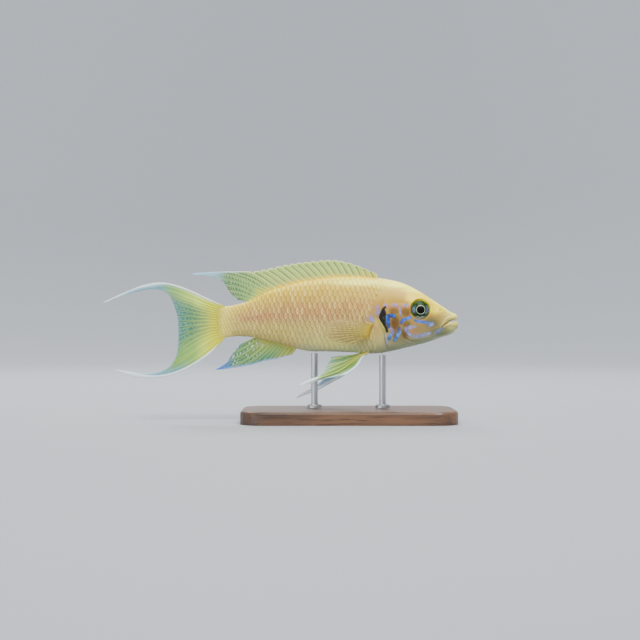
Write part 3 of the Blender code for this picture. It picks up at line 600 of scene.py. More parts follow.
# %% One scale and its copies
PLATE_STEPS = (5, 4)
PLATE_WALL = 0.05
PLATE_GAP = 10
PITCH = [(13, 0.8), (19, 1.0), (24, 1.25), (30, 1.42), (50, 1.42), (60, 1.26), (68, 1.02), (72, 0.8)]
ROW_WIDTH = [(13, 1.35), (19, 1.5), (25, 1.72), (35, 1.85), (50, 1.76), (60, 1.46), (68, 1.2), (72, 0.98)]
ROWS_EACH_WAY = 10
SCALED_FROM, SCALED_TO = 13, 72
STATION_SHIFT, ROW_SHIFT = 0.09, 0.05
NAPE_START, SHOULDER_START = 15.5, 21.5


def arc_table():
    """Angles of the body by station and by distance round it from the middle of the flank."""
    stations, reaches = np.linspace(12, 73, 245), np.linspace(-19, 19, 381)
    angles = np.linspace(-0.7, math.pi + 0.7, 400)
    table = []
    for station in stations:
        line = flank(station, angles)[:, 1:]
        run = np.concatenate([[0], np.cumsum(np.linalg.norm(np.diff(line, axis=0), axis=1))])
        table.append(np.interp(reaches + np.interp(math.pi / 2, angles, run), run, angles))
    return stations, reaches, np.array(table)


ARC_STATIONS, ARC_REACHES, ARC_ANGLES = arc_table()


def angle_at_reach(station, reach):
    """The angle at a distance round the body from the middle of the flank, down being more."""
    row = (station - ARC_STATIONS[0]) / (ARC_STATIONS[1] - ARC_STATIONS[0])
    column = (reach - ARC_REACHES[0]) / (ARC_REACHES[1] - ARC_REACHES[0])
    row, column = np.clip(row, 0, len(ARC_STATIONS) - 1.001), np.clip(column, 0, len(ARC_REACHES) - 1.001)
    i, j = row.astype(int), column.astype(int)
    u, v = row - i, column - j
    first = ARC_ANGLES[i, j] * (1 - v) + ARC_ANGLES[i, j + 1] * v
    second = ARC_ANGLES[i + 1, j] * (1 - v) + ARC_ANGLES[i + 1, j + 1] * v
    return first * (1 - u) + second * u


def plates(name, count):
    """Plates in a row, each from -1 to 1 along and across."""
    piece = new_piece(name, bpy.ops.mesh.primitive_grid_add, x_subdivisions=PLATE_STEPS[0],
                      y_subdivisions=PLATE_STEPS[1], size=2)
    wall = piece.modifiers.new("wall", "SOLIDIFY")
    wall.thickness = 0.1
    wall.offset = 0
    row = piece.modifiers.new("row", "ARRAY")
    row.count = count
    row.use_relative_offset = False
    row.use_constant_offset = True
    row.constant_offset_displace = (PLATE_GAP, 0, 0)
    apply_modifiers(piece)
    return piece


def scale_places():
    """For every scale on one side: its station, row, pitch, tone, and whether it is one of the first."""
    stations = np.linspace(SCALED_FROM, SCALED_TO, 600)
    counted = np.concatenate([[0], np.cumsum(np.diff(stations) / profile(PITCH, stations[:-1]))])
    found = []
    random = np.random.default_rng(7)
    for row in range(-ROWS_EACH_WAY, ROWS_EACH_WAY + 1):
        for count in np.arange(0.5 * (row % 2), counted[-1]):
            station = np.interp(count, counted, stations) + random.uniform(-STATION_SHIFT, STATION_SHIFT)
            tone, shift = random.uniform(0, 1), random.uniform(-ROW_SHIFT, ROW_SHIFT)
            angle = float(angle_at_reach(np.array(station), np.array(row * profile(ROW_WIDTH, station))))
            degrees = math.degrees(angle)
            nape = np.interp(degrees, [0, 50], [NAPE_START, SHOULDER_START])
            start = gill_station(angle) + 0.35 if degrees > 50 else nape
            end = 71.3 - 1.5 * abs(row / 4) ** 2
            if start < station < end and 3 < degrees < 174:
                first = float(ease(station, start + 3.2, start + 0.3))
                found.append((station, row + shift, profile(PITCH, station), tone, first))
    return np.array(found)


print("widest row of scales:", max(row[1] for row in ROW_WIDTH), "mm")

# %% [markdown]
# Each scale sits in a pocket of the skin and follows its curve. The plates could be set down whole and
# turned one by one, but stiff plates stick out where the body bends. So every corner of every plate
# goes to its own place on the curved body. In the map each scale is one small patch, so that it
# keeps one tone of its own.

# %% Lay the scales on the body
PATCH = 0.0013


def lay_scales(name, side):
    """A coat of scales on one side. They lie flatter on the upper back, as on the real fish."""
    places = scale_places()
    piece = plates(name, len(places))
    local = corners(piece).reshape(len(places), -1, 3)
    local[:, :, 0] -= PLATE_GAP * np.arange(len(places))[:, None]
    along, across, top = local[..., 0], local[..., 1], np.sign(local[..., 2])
    station, row, pitch, tone, first = (column[:, None] for column in places.T)
    across = across * np.sqrt(np.clip(1 - np.clip(along, 0, 1) ** 2.2 * 0.86, 0, 1))
    here = station + along * pitch * (1 - 0.12 * across ** 2)
    angle = angle_at_reach(here, (row + across * 1.02) * profile(ROW_WIDTH, here)) * side
    middle = angle_at_reach(station, row * profile(ROW_WIDTH, station)) * side
    standing = 0.82 - 0.4 * ease(np.abs(middle) / math.pi, 0.42, 0.22) * ease(station, 58, 44)
    tilt = -0.07 + 0.11 * (along + 1) / 2 - 0.05 * across ** 2
    lift = standing * tilt - first * (0.06 + 0.12 * (1 - along) / 2)
    lift += top * PLATE_WALL / 2
    laid = body_surface(here, angle) + outward(here, angle) * lift[..., None]
    move_corners(piece, scene_points(laid.reshape(-1, 3)))
    rim = np.clip(np.hypot(np.maximum(along, 0), across) ** 3, 0, 1) * (1 - 0.8 * first)
    each = np.ones_like(here)
    paint_body(piece, (station * each).ravel(), (middle * each).ravel(), laid[..., 2].ravel(), rim.ravel(),
               (tone * each).ravel())
    add_patches(piece, station, middle, local.shape[1])
    smooth(piece)
    print(name, len(places), "scales,", 2 * len(piece.data.polygons), "triangles")
    return piece


def add_patches(piece, station, angle, corners_each):
    """A map in which each scale is a small patch at its place on the unrolled skin."""
    ends = np.empty(len(piece.data.loops), int)
    piece.data.loops.foreach_get("vertex_index", ends)
    which, turn = ends // corners_each, ends % corners_each * 2.4
    u = station[which, 0] / 80 + PATCH * np.cos(turn)
    v = 0.5 + angle[which, 0] / (2.1 * math.pi) + PATCH * np.sin(turn)
    layer = piece.data.uv_layers.get("OFBake") or piece.data.uv_layers.new(name="OFBake")
    layer.data.foreach_set("uv", np.stack([u, v], -1).astype(np.float32).ravel())
    for other in [layer.name for layer in piece.data.uv_layers if layer.name != "OFBake"]:
        piece.data.uv_layers.remove(piece.data.uv_layers[other])


coat = [lay_scales("scales_right", -1), lay_scales("scales_left", 1)]

# %% [markdown]
# A fin is a thin membrane held up by rays. Spines are stiff and plain, and soft rays split in two towards
# their ends. Rays could be separate rods on a sheet, but they would meet it in hard creases. So each fin
# is one fine grid through a few guide rays. A Solidify wall gives it two faces, and each pair of
# corners is then moved apart by the true thickness: thick on a ray and paper-thin between rays.

# %% A fin from guide rays
RAY_STEPS = 10
EDGE_OFFSET = 0.24
SPLIT_FROM, SPLIT_SPREAD = 0.34, 0.34
LAPPET_TURN = 0.35
LEAST_WALL = 0.05


def guide_points(guide, shares):
    """Points on the smooth curve through a guide ray's points, at shares of its length."""
    points = np.asarray(guide, float)
    run = np.concatenate([[0], np.cumsum(np.linalg.norm(np.diff(points, axis=0), axis=1))])
    return smooth_curve(run / run[-1], points, shares)


def ray_points(guides, ray, shares):
    """Points of any ray, from the guides on both sides of it."""
    numbers = [number for number, guide in guides]
    curves = np.array([guide_points(guide, shares) for number, guide in guides])
    return smooth_curve(numbers, curves.reshape(len(guides), -1), ray, gentle=True).reshape(-1, 3)


def away_from(beside, curve):
    """Unit directions at right angles to a curve, away from the curve beside it."""
    nearest = np.linalg.norm(curve[:, None] - beside[None], axis=2).argmin(axis=1)
    across = curve - beside[nearest]
    along = np.gradient(curve, axis=0)
    along /= np.linalg.norm(along, axis=1, keepdims=True)
    across -= along * (across * along).sum(axis=1, keepdims=True)
    return across / np.maximum(np.linalg.norm(across, axis=1, keepdims=True), 1e-9)


def ray_ridge(ray, share, soft_from):
    """1 on the crest of a ray and 0 between rays. Soft rays part in two beyond a third of their length."""
    part = np.clip(share - SPLIT_FROM, 0, 1) * SPLIT_SPREAD * (ray >= soft_from)
    away = np.abs(ray - np.rint(ray))
    width = 0.15 - 0.05 * share
    return np.clip(1 - ((away - part) / width) ** 2, 0, 1)


def build_fin(name, guides, last, rows, spine, membrane, soft_from=0, notch=lambda ray: 0 * ray,
              crowding=0.9):
    """A fin with rays 0 to last. spine is a ray's thickness at its root and its tip, and notch the share of
    its length by which the margin steps in between two rays."""
    numbers = np.concatenate([[0], np.linspace(0, last, last * RAY_STEPS + 1), [last]])
    shares = np.linspace(0, 1, rows) ** crowding
    part = numbers - np.floor(numbers)
    behind_ray, before_ray = (1 - part / LAPPET_TURN) ** 2, (part - LAPPET_TURN) / (1 - LAPPET_TURN)
    lappet = np.where(part < LAPPET_TURN, 0.4 * behind_ray, np.maximum(before_ray, 0) ** 2.4)
    lengths = 1 - notch(numbers) * lappet * (numbers < last)
    sheet = np.array([ray_points(guides, ray, shares * length) for ray, length in zip(numbers, lengths)])
    dense = np.linspace(0, 1, 90)
    for edge, beside, ray in ((0, 1, 0.8), (-1, -2, last - 0.8)):
        sheet[edge] += EDGE_OFFSET * away_from(ray_points(guides, ray, dense), sheet[beside])
    piece, column, row = grid_piece(name, sheet)
    ray, share = numbers[column], shares[row]
    ridge = ray_ridge(ray, share, soft_from)
    ridge[(column == 0) | (column == len(numbers) - 1)] = 0
    thick = membrane + ridge * (spine[0] + (spine[1] - spine[0]) * share ** 0.7 - membrane)
    thick *= 1 - 0.55 * ease(share, 0.94, 1)
    add_numbers(piece, "fin", np.stack([ray / last, share, ridge, sheet[column, row][:, 0] / 100], -1))
    wall = piece.modifiers.new("wall", "SOLIDIFY")
    wall.thickness = 0.0001
    wall.offset = 0
    apply_modifiers(piece)
    spread_walls(piece, np.maximum(thick, LEAST_WALL) * MM)
    smooth(piece)
    print(name, "rays:", last + 1, "triangles:", 2 * len(piece.data.polygons))
    return piece


def spread_walls(piece, thick):
    """Moves each corner and its partner on the other face to the wanted distance."""
    places = corners(piece).reshape(2, -1, 3)
    middle = places.mean(axis=0)
    apart = places[0] - middle
    apart /= np.maximum(np.linalg.norm(apart, axis=1, keepdims=True), 1e-12)
    apart = apart * thick[:, None] / 2
    move_corners(piece, np.concatenate([middle + apart, middle - apart]))


print("steps from ray to ray:", RAY_STEPS)

# %% [markdown]
# The dorsal fin has 18 spines, which end in a scalloped margin, and 8 soft rays drawn out to a long
# tip. The anal fin is the same below the belly, with 6 spines and 7 soft rays. Each could be a flat
# outline cut out of a sheet. A table of rays follows the real growth instead: it says where a ray
# leaves the body, where it ends and how far it bends, so the scallops come by themselves.

# %% Dorsal and anal fins
DORSAL = [(0, 24.1, 25.0, 14.3, 0.1), (2, 27.8, 29.3, 16.2, 0.2), (4, 31.5, 34.2, 17.8, 0.3),
          (6, 35.1, 38.4, 18.3, 0.3), (9, 40.4, 45.1, 17.8, 0.3), (11, 43.9, 49.3, 17.3, 0.3),
          (13, 47.5, 53.5, 16.5, 0.3), (15, 51.1, 58.1, 15.5, 0.3), (17, 54.5, 62.7, 14.9, 0.4),
          (18, 56.2, 68.0, 14.9, 0.9), (19, 57.1, 73.4, 14.7, 1.4), (20, 58.0, 80.3, 14.1, 1.7),
          (21, 58.9, 73.6, 13.3, 1.2), (22, 59.8, 70.4, 11.4, 0.7), (23, 60.8, 69.3, 9.6, 0.4),
          (24, 61.8, 68.0, 7.9, 0.2), (25, 62.7, 66.4, 6.7, 0.1)]
ANAL = [(0, 48.6, 50.3, -10.1, 0), (2, 50.9, 54.1, -11.3, -0.1), (5, 53.4, 58.9, -12.2, -0.2),
        (7, 55.2, 64.0, -13.5, -0.5), (8, 56.2, 68.6, -14.2, -0.9), (9, 57.2, 73.2, -14.7, -1.2),
        (10, 58.2, 69.6, -12.5, -0.6), (11, 59.3, 67.9, -9.9, -0.2), (12, 60.4, 65.8, -7.5, 0.1)]
SUNK = 0.55
DORSAL_SPINES, ANAL_SPINES = 18, 6


def middle_fin(table, edge, direction):
    """Guide rays of a fin on the middle line, each bent a little at its middle."""
    guides = []
    for ray, root, tip, height, bow in table:
        start = (root, 0, profile(edge, root) - direction * SUNK)
        middle = ((root + tip) / 2, 0, (start[2] + height) / 2 + bow)
        guides.append((ray, [start, middle, (tip, 0, height)]))
    return guides


dorsal = build_fin("fin_dorsal", middle_fin(DORSAL, BACK, 1), last=25, rows=34, spine=(0.42, 0.2),
                   membrane=0.13, soft_from=DORSAL_SPINES,
                   notch=lambda ray: np.where(ray < DORSAL_SPINES - 1, 0.14, 0.02))
anal = build_fin("fin_anal", middle_fin(ANAL, BELLY, -1), last=12, rows=34, spine=(0.42, 0.2),
                 membrane=0.13, soft_from=ANAL_SPINES,
                 notch=lambda ray: np.where(ray < ANAL_SPINES - 1, 0.12, 0.02))

# %% [markdown]
# The tail fin is lyre-shaped. Its outer rays run out into two long streamers that curve inwards, and the
# rays at the fork are less than half as long. Its outline could be drawn and filled, but then the rays
# would not run with it. So each guide is one ray of the side view. The upper lobe leans a little to
# the left and the lower one to the right, as they do when the fish swims slowly.

# %% Tail fin
CAUDAL = [
    (0, [(76.1, 6.9), (81.8, 9.5), (86.8, 11.0), (89.9, 11.3), (93.8, 10.7), (99.1, 8.8), (106.6, 5.4)]),
    (1, [(76.2, 5.95), (81.6, 8.45), (86.3, 10.1), (89.7, 10.5), (93.7, 10.0), (100.5, 7.75)]),
    (1.5, [(76.4, 5.5), (81.8, 7.8), (86.4, 9.5), (90.2, 9.8), (93.8, 9.65)]),
    (2, [(76.6, 5.1), (82, 7.1), (86.5, 8.9), (90.2, 9.5)]),
    (3, [(76.6, 4.3), (81.9, 6.2), (87.3, 8.15)]),
    (4, [(76.7, 3.6), (81.8, 5.4), (86.4, 7.1)]),
    (6, [(77.5, 2.1), (85.0, 3.6)]),
    (8, [(77.5, 0.0), (84.1, -0.2)]),
    (10, [(77.5, -2.4), (84.0, -4.4)]),
    (12, [(76.6, -4.6), (81.1, -7.0), (84.5, -10.0)]),
    (14, [(76.0, -7.0), (81.5, -10.6), (86.2, -13.2)]),
    (14.5, [(76.0, -8.2), (81.3, -11.7), (86.0, -14.1), (88.6, -14.8)]),
    (15, [(76, -9.3), (81.0, -12.6), (86.4, -15.1), (93.4, -16.0)]),
    (16, [(73, -8.1), (76.1, -10.8), (80, -13.3), (83.8, -15.2), (88.3, -16.5), (92.2, -16.8), (96, -16.5),
          (99.1, -15.8), (102.8, -14.4)]),
]
CAUDAL_ROOT = (70.2, 4.2, -4.9)
BEND_FROM, BEND_LENGTH, BEND_SIDE = 70.6, 36, 1.6


def caudal_side(station, height):
    """How far the tail fin leans to the left."""
    away = np.maximum(0, (station - BEND_FROM) / BEND_LENGTH)
    return BEND_SIDE * away ** 2 * math.tanh(height / 6)


def caudal_guides():
    station, top, bottom = CAUDAL_ROOT
    guides = []
    for ray, points in CAUDAL:
        root = (station, 0, top + ray / 16 * (bottom - top))
        guides.append((ray, [root] + [(s, caudal_side(s, h), h) for s, h in points]))
    return guides


caudal = build_fin("fin_caudal", caudal_guides(), last=16, rows=60, spine=(0.62, 0.24), membrane=0.14,
                   soft_from=1)

# %% [markdown]
# The paired fins leave the skin at right angles and bend back. The pectoral fins lie open beside the
# flank and are almost clear. The pelvic fins hang below the breast, each with its first soft ray drawn
# out to a thread. They could be modelled flat and turned into place, but their roots would stand on
# the skin like stickers. So each ray starts inside the body, leaves it straight out and then bends.

# %% Pectoral and pelvic fins
PECTORAL_ROOT = ((26.0, -0.9), (27.3, -4.9))
PECTORAL = [(0, 35.5, 0.4, 1.9), (3, 39.6, -0.7, 2.6), (6, 40.2, -3.0, 2.9), (9, 37.6, -5.9, 2.6),
            (11, 31.8, -7.0, 1.7)]
PECTORAL_SPREAD = {-1: 1.0, 1: 1.35}
PELVIC_ROOT = ((27.2, 2.3), (29.6, 1.0))
PELVIC = {
    -1: [(0, [(34.2, 5.5, -15.9)]), (0.5, [(36.8, 5.7, -16.5)]), (0.75, [(40.0, 5.8, -17.0)]),
         (0.9, [(36.6, 5.2, -15.45), (41.4, 5.9, -17.15), (47.7, 6.6, -19.4)]),
         (1.1, [(36.8, 5.2, -15.15), (41.6, 5.9, -16.8), (47.9, 6.6, -19.05)]),
         (2, [(41.7, 5.3, -16.1)]), (3, [(39.9, 4.5, -13.9)]), (4, [(38.2, 3.4, -10.9)])],
    1: [(0, [(34.3, 5.4, -16.4), (37.8, 5.9, -18.3), (41.6, 6.6, -20.45), (48.8, 7.6, -23.3)]),
        (0.1, [(34.4, 5.4, -16.2), (37.9, 5.9, -18.1), (41.7, 6.6, -20.2), (48.7, 7.5, -23.1)]),
        (1, [(42.2, 6.25, -19.2)]), (2, [(40.9, 5.6, -18.0)]), (3, [(39.8, 4.7, -15.2)]),
        (4, [(38.6, 3.8, -12.2)])],
}
STEM_REACH, STEM_BACK = 0.95, 1.1


def stem(station, angle, side, reach=STEM_REACH):
    """The first points of a paired fin's ray, from inside the skin out of it."""
    start = flank(station, angle * side, 0)
    out = outward(station, angle * side)
    return [start - out * 0.6, start + out * 0.1, start + out * reach * 0.5 + (0.3, 0, 0),
            start + out * reach + (STEM_BACK, 0, 0)]


def root_place(table, share):
    """A place on the line along which a fin grows out, from its first ray, 0, to its last, 1."""
    (first, first_level), (last, last_level) = table
    return first + share * (last - first), first_level + share * (last_level - first_level)


def pectoral_guides(side):
    guides = []
    for ray, station, height, away in PECTORAL:
        root, level = root_place(PECTORAL_ROOT, ray / 11)
        points = stem(root, angle_at_height(root, level), side)
        level = points[1][2]
        for along in (0.2, 0.6, 1.0):
            here = root + 1.2 + along * (station - root - 1.2)
            up = level + along * (height - level)
            beside = abs(flank(here, angle_at_height(here, up), 0)[1])
            reach = 1.3 + along ** 0.8 * (away * PECTORAL_SPREAD[side] - 1.0)
            points.append((here, side * (beside + reach), up))
        guides.append((ray, points))
    return guides


def pelvic_guides(side):
    guides = []
    for ray, ends in PELVIC[side]:
        share = ray / 4
        root, out = root_place(PELVIC_ROOT, share)
        angle = math.pi - math.asin(min(1, out / section(root)[3]) ** (1 / BELLY_FULLNESS))
        points = stem(root, angle, side, STEM_REACH - 0.5 * share)
        ends = [np.array(end) * (1, side, 1) for end in ends]
        if len(ends) == 1:
            ends.insert(0, points[-1] + 0.45 * (ends[0] - points[-1]) + (-0.4, 0, -0.6 * (1 - share)))
        guides.append((ray, points + ends))
    return guides


SIDES = ((-1, "right"), (1, "left"))
pectorals, pelvics = [], []
for side, word in SIDES:
    pectorals.append(build_fin(f"fin_pectoral_{word}", pectoral_guides(side), last=11, rows=40,
                               spine=(0.3, 0.12), membrane=0.09, soft_from=1, crowding=1.4))
    pelvics.append(build_fin(f"fin_pelvic_{word}", pelvic_guides(side), last=4, rows=44, spine=(0.5, 0.4),
                             membrane=0.14, soft_from=1, crowding=1.3))

# %% [markdown]
# A cichlid's eye is a flattened ball without lids. A black pupil lies in a thin silver ring, and the
# iris round it is dark green above, with silvery streaks before, behind and low down. Ball, lens and
# iris could be separate shells, but at 6 mm across nobody would see between them. So one sphere has
# its pole turned out of the head and a small bulge there, and its corners keep their own flat place,
# from which the material draws the iris.

# %% Eyes
PUPIL_BACK = -0.15
LENS_BULGE = 0.1
NO_PUPIL = 9


def build_eye(name, side):
    piece = new_piece(name, bpy.ops.mesh.primitive_uv_sphere_add, segments=72, ring_count=48, radius=1)
    local = corners(piece)
    radius = np.hypot(local[:, 0], local[:, 1])
    lens = LENS_BULGE * ease(radius, 0.5, 0.25) * (local[:, 2] > 0)
    local = local * (EYE_RADIUS, EYE_RADIUS, EYE_HALF_DEPTH)
    local[:, 2] += lens
    angle = angle_at_height(EYE_STATION, EYE_HEIGHT) * side
    out = outward(EYE_STATION, angle)
    centre = flank(EYE_STATION, angle, 0) + out * (EYE_PROUD - EYE_HALF_DEPTH)
    turn = Vector((-out[0], out[1], out[2])).to_track_quat("Z", "Y").to_matrix()
    turned = local @ np.array(turn).T
    move_corners(piece, scene_points(centre) + turned * MM)
    radius, pupil = np.hypot(local[:, 0], local[:, 1]), np.hypot(turned[:, 0] + PUPIL_BACK, turned[:, 2])
    pupil = np.where(local[:, 2] > 0, pupil, NO_PUPIL)
    add_numbers(piece, "iris", np.stack([turned[:, 0], turned[:, 2], radius, pupil], -1))
    smooth(piece)
    print(name, "looks out at", np.round(out, 2))
    return piece


eyes = [build_eye(f"eye_ball_{word}", side) for side, word in SIDES]

# %% [markdown]
# A finish is a network of nodes that turns a place on a piece into a colour and a shine. The boxes and
# wires could be laid out by hand, but a long sum is easier to read as a formula. So this small class
# wraps the output of a node: each operator adds the Math node for it, and any other node comes from
# one method. Colours are written as a painting program shows them, from 0 to 255.

# %% Shader formulas
class Wire:
    """The output of a node, from which formulas go on."""

    def __init__(self, tree, socket):
        self.tree, self.socket = tree, socket

    def node(self, kind, settings=None, **inputs):
        """Any node. Its inputs are given by name, or by number as i0, i1 and so on."""
        made = self.tree.nodes.new(kind)
        for key, value in (settings or {}).items():
            if key == "stops":
                ramp = made.color_ramp
                for place, colour in value[2:]:
                    ramp.elements.new(place)
                for element, (place, colour) in zip(ramp.elements, sorted(value)):
                    element.position, element.color = place, (*colour, 1)
            else:
                setattr(made, key, value)
        for key, value in inputs.items():
            place = int(key[1:]) if key[0] == "i" and key[1:].isdigit() else key.replace("_", " ")
            socket = made.inputs[place]
            if isinstance(value, Wire):
                self.tree.links.new(value.socket, socket)
            else:
                socket.default_value = value
        return made

    def out(self, made, name=0):
        return Wire(self.tree, made.outputs[name])

    def math(self, operation, other=0.0, third=0.0):
        return self.out(self.node("ShaderNodeMath", {"operation": operation}, i0=self, i1=other, i2=third))

    def __add__(self, other):
        return self.math("ADD", other)

    def __sub__(self, other):
        return self.math("SUBTRACT", other)

    def __mul__(self, other):
        return self.math("MULTIPLY", other)

    def __truediv__(self, other):
        return self.math("DIVIDE", other)

    def __pow__(self, other):
        return self.math("POWER", other)

    def __rsub__(self, other):
        return (self * -1.0).math("ADD", other)

    __radd__, __rmul__ = __add__, __mul__

    def ease(self, low, high):
        """0 at low, 1 at high and smooth between them."""
        made = self.node("ShaderNodeMapRange", {"interpolation_type": "SMOOTHSTEP"}, i0=self, i1=low, i2=high,
                         i3=0.0, i4=1.0)
        return self.out(made)

    def band(self, rise, full, fall, end):
        """1 from full to fall, 0 before rise and after end, and smooth between them."""
        return self.ease(rise, full) * self.ease(end, fall)

    def clamp(self):
        return self.out(self.node("ShaderNodeClamp", i0=self))

    def mix(self, first, second, blend="MIX"):
        """A colour between two, by this wire's share."""
        pair = [opaque(colour) if isinstance(colour, tuple) else colour for colour in (first, second)]
        made = self.node("ShaderNodeMix", {"data_type": "RGBA", "blend_type": blend}, i0=self, i6=pair[0],
                         i7=pair[1])
        return self.out(made, 2)

    def ramp(self, stops):
        """A row of colours by this wire's value. The first two stops are the ramp's ends."""
        made = self.node("ShaderNodeValToRGB", {"stops": [(p, linear(c)) for p, c in stops]}, i0=self)
        return self.out(made)


def linear(colour):
    """A colour given from 0 to 255, as the light that it stands for."""
    part = np.asarray(colour, float) / 255
    return tuple(float(c) for c in np.where(part <= 0.04045, part / 12.92, ((part + 0.055) / 1.055) ** 2.4))


def opaque(colour):
    return (*linear(colour), 1.0)


print("middle grey as light:", np.round(linear((128, 128, 128)), 3))

# %% [markdown]
# No part of an animal has one flat colour, and the shares kept on the corners are too coarse for its finest
# changes. Photos of skin could add them, but noise needs no map and never repeats. These helpers start a
# material, read the numbers kept on the corners, and turn noise of a given size into small
# changes of colour or relief.

# %% Materials, kept numbers and noise
MIDDLE = 0.5


def new_material(name):
    """A material, a first wire to start formulas from, and its main shader."""
    made = bpy.data.materials.new(name)
    made.use_nodes = True
    return made, Wire(made.node_tree, None), made.node_tree.nodes["Principled BSDF"]


def connect(shader, **inputs):
    """Sets inputs of a shader to wires or plain values."""
    for key, value in inputs.items():
        socket = shader.inputs[key.replace("_", " ")]
        if isinstance(value, Wire):
            value.tree.links.new(value.socket, socket)
        else:
            socket.default_value = value


def attribute(start, name):
    """The four numbers kept on each corner of the piece."""
    made = start.node("ShaderNodeAttribute", {"attribute_name": name, "attribute_type": "GEOMETRY"})
    split = start.node("ShaderNodeSeparateColor", Color=start.out(made, "Color"))
    return [start.out(split, k) for k in range(3)] + [start.out(made, "Alpha")]


def object_place(start):
    """The place on the piece, in metres."""
    return start.out(start.node("ShaderNodeTexCoord"), "Object")


def noise(start, size, detail=3.0, stretch=(1, 1, 1), roughness=0.5):
    """Cloudy variation of a size in millimetres, from 0 to 1."""
    mapped = start.out(start.node("ShaderNodeMapping", Vector=object_place(start), Scale=stretch))
    return start.out(start.node("ShaderNodeTexNoise", Vector=mapped, Scale=1000 / size, Detail=detail,
                                Roughness=roughness))


def add_relief(start, shader, height, strength, depth):
    """Relief too fine to model, from a wire between 0 and 1. The depth is in millimetres."""
    made = start.node("ShaderNodeBump", Strength=strength, Distance=depth * MM, Height=height)
    connect(shader, Normal=start.out(made))


print("finishes so far:", sorted(material.name for material in bpy.data.materials))

# %% [markdown]
# The fish is warm beige, yellower along the back and on the forehead, with a breath of pink along the
# middle of the flank, and pale grey-green under the throat and belly. An image seen from the side could
# carry this, but it would smear where the body turns away. So a ramp from back to belly gives these
# bands, and shares along the fish mix in the tones of head and tail. Stations in these formulas are
# in tenths of a metre, as the corners keep them: 0.24 is 24 mm behind the snout.

# %% Bands of colour on the body
# The first two stops of each ramp are its ends.
BODY_BANDS = [(0.0, (226, 162, 20)), (1.0, (166, 182, 142)), (0.03, (230, 184, 32)), (0.085, (236, 214, 50)),
              (0.2, (200, 166, 34)), (0.36, (184, 148, 58)), (0.5, (170, 136, 80)), (0.62, (188, 170, 88)),
              (0.76, (188, 184, 114)), (0.9, (178, 190, 152))]
HEAD_BANDS = [(0.0, (252, 252, 120)), (1.0, (164, 180, 148)), (0.12, (244, 234, 96)), (0.24, (194, 156, 10)),
              (0.42, (168, 134, 50)), (0.6, (154, 128, 70)), (0.74, (146, 138, 90)), (0.88, (156, 170, 138))]


def band_colours(station, share, clouds):
    """The plain colours of the fish, from back to belly and from snout to tail."""
    wander = share + (clouds - MIDDLE) * 0.04
    colour = station.ease(0.24, 0.19).mix(wander.ramp(BODY_BANDS), wander.ramp(HEAD_BANDS))
    snout = station.ease(0.07, 0.015)
    colour = (snout * 0.6).mix(colour, (222, 222, 122))
    rear_belly = share.band(0.54, 0.74, 0.93, 1.02) * station.ease(0.42, 0.52)
    colour = (rear_belly * 0.7).mix(colour, (184, 156, 64))
    tail_top = station.ease(0.62, 0.70) * share.ease(0.7, 0.45)
    colour = (tail_top * 0.6).mix(colour, (236, 218, 70))
    tail_end = station.ease(0.655, 0.71)
    colour = (tail_end * 0.9).mix(colour, (232, 214, 84))
    return station.ease(0.695, 0.722).mix(colour, (198, 188, 40))


print("bands on the body and on the head:", len(BODY_BANDS), len(HEAD_BANDS))

# %% [markdown]
# The strokes on cheek and gill cover aren't one flat blue. Up close they are broken into bright and deep
# specks, the front and lower ones are milky, and each blue one has a dark border. They could be cut into
# hundreds of small strokes, but a photo doesn't show where each one ends. So one noise moves
# every stroke between a deep and a bright tone, and the tones change from place to place.

# %% Colours of the strokes
def stroke_colours(colour, station, share, blue, lavender, mottle):
    """Lavender and blue strokes over a colour, the blue ones with a dark border."""
    mottled = mottle.ease(0.35, 0.65)
    vivid = (mottle.ease(0.3, 0.62) * 0.7 + 0.25).clamp()
    low_cheek = share.ease(0.52, 0.58) * station.ease(0.18, 0.165)
    violet = mottled.mix((62, 80, 186), (146, 134, 222))
    violet = (low_cheek * 0.8).mix(violet, mottled.mix((84, 116, 188), (150, 164, 226)))
    colour = (lavender * vivid * 0.85).clamp().mix(colour, violet)
    border = blue.ease(0.0, 0.35) * (station.ease(0.175, 0.205) * 0.5 + 0.2)
    colour = border.mix(colour, (14, 20, 40))
    front, low_cover = station.ease(0.19, 0.14), share.ease(0.57, 0.64) * station.ease(0.165, 0.18)
    bright = mottle.ease(0.35, 0.7).mix((2, 34, 108), (20, 108, 226))
    bright = (front * 0.75).mix(bright, mottled.mix((48, 84, 182), (94, 132, 214)))
    bright = (low_cover * 0.7).mix(bright, mottled.mix((40, 96, 168), (112, 166, 220)))
    return (blue.ease(0.25, 0.8) * (vivid + 0.3)).clamp().mix(colour, bright)


print("deep blue as light:", np.round(linear((2, 34, 108)), 3))
print("bright blue as light:", np.round(linear((20, 108, 226)), 3))

# %% [markdown]
# Skin and scales have the same colours, but a scale has a pale zone before a darker rim, and each one is a
# little lighter or darker than the next. They could be one material with a switch kept on the corners.
# Here one function makes two materials, so each stays small. A thin coat and a little light
# under the surface give the damp look of a live fish.

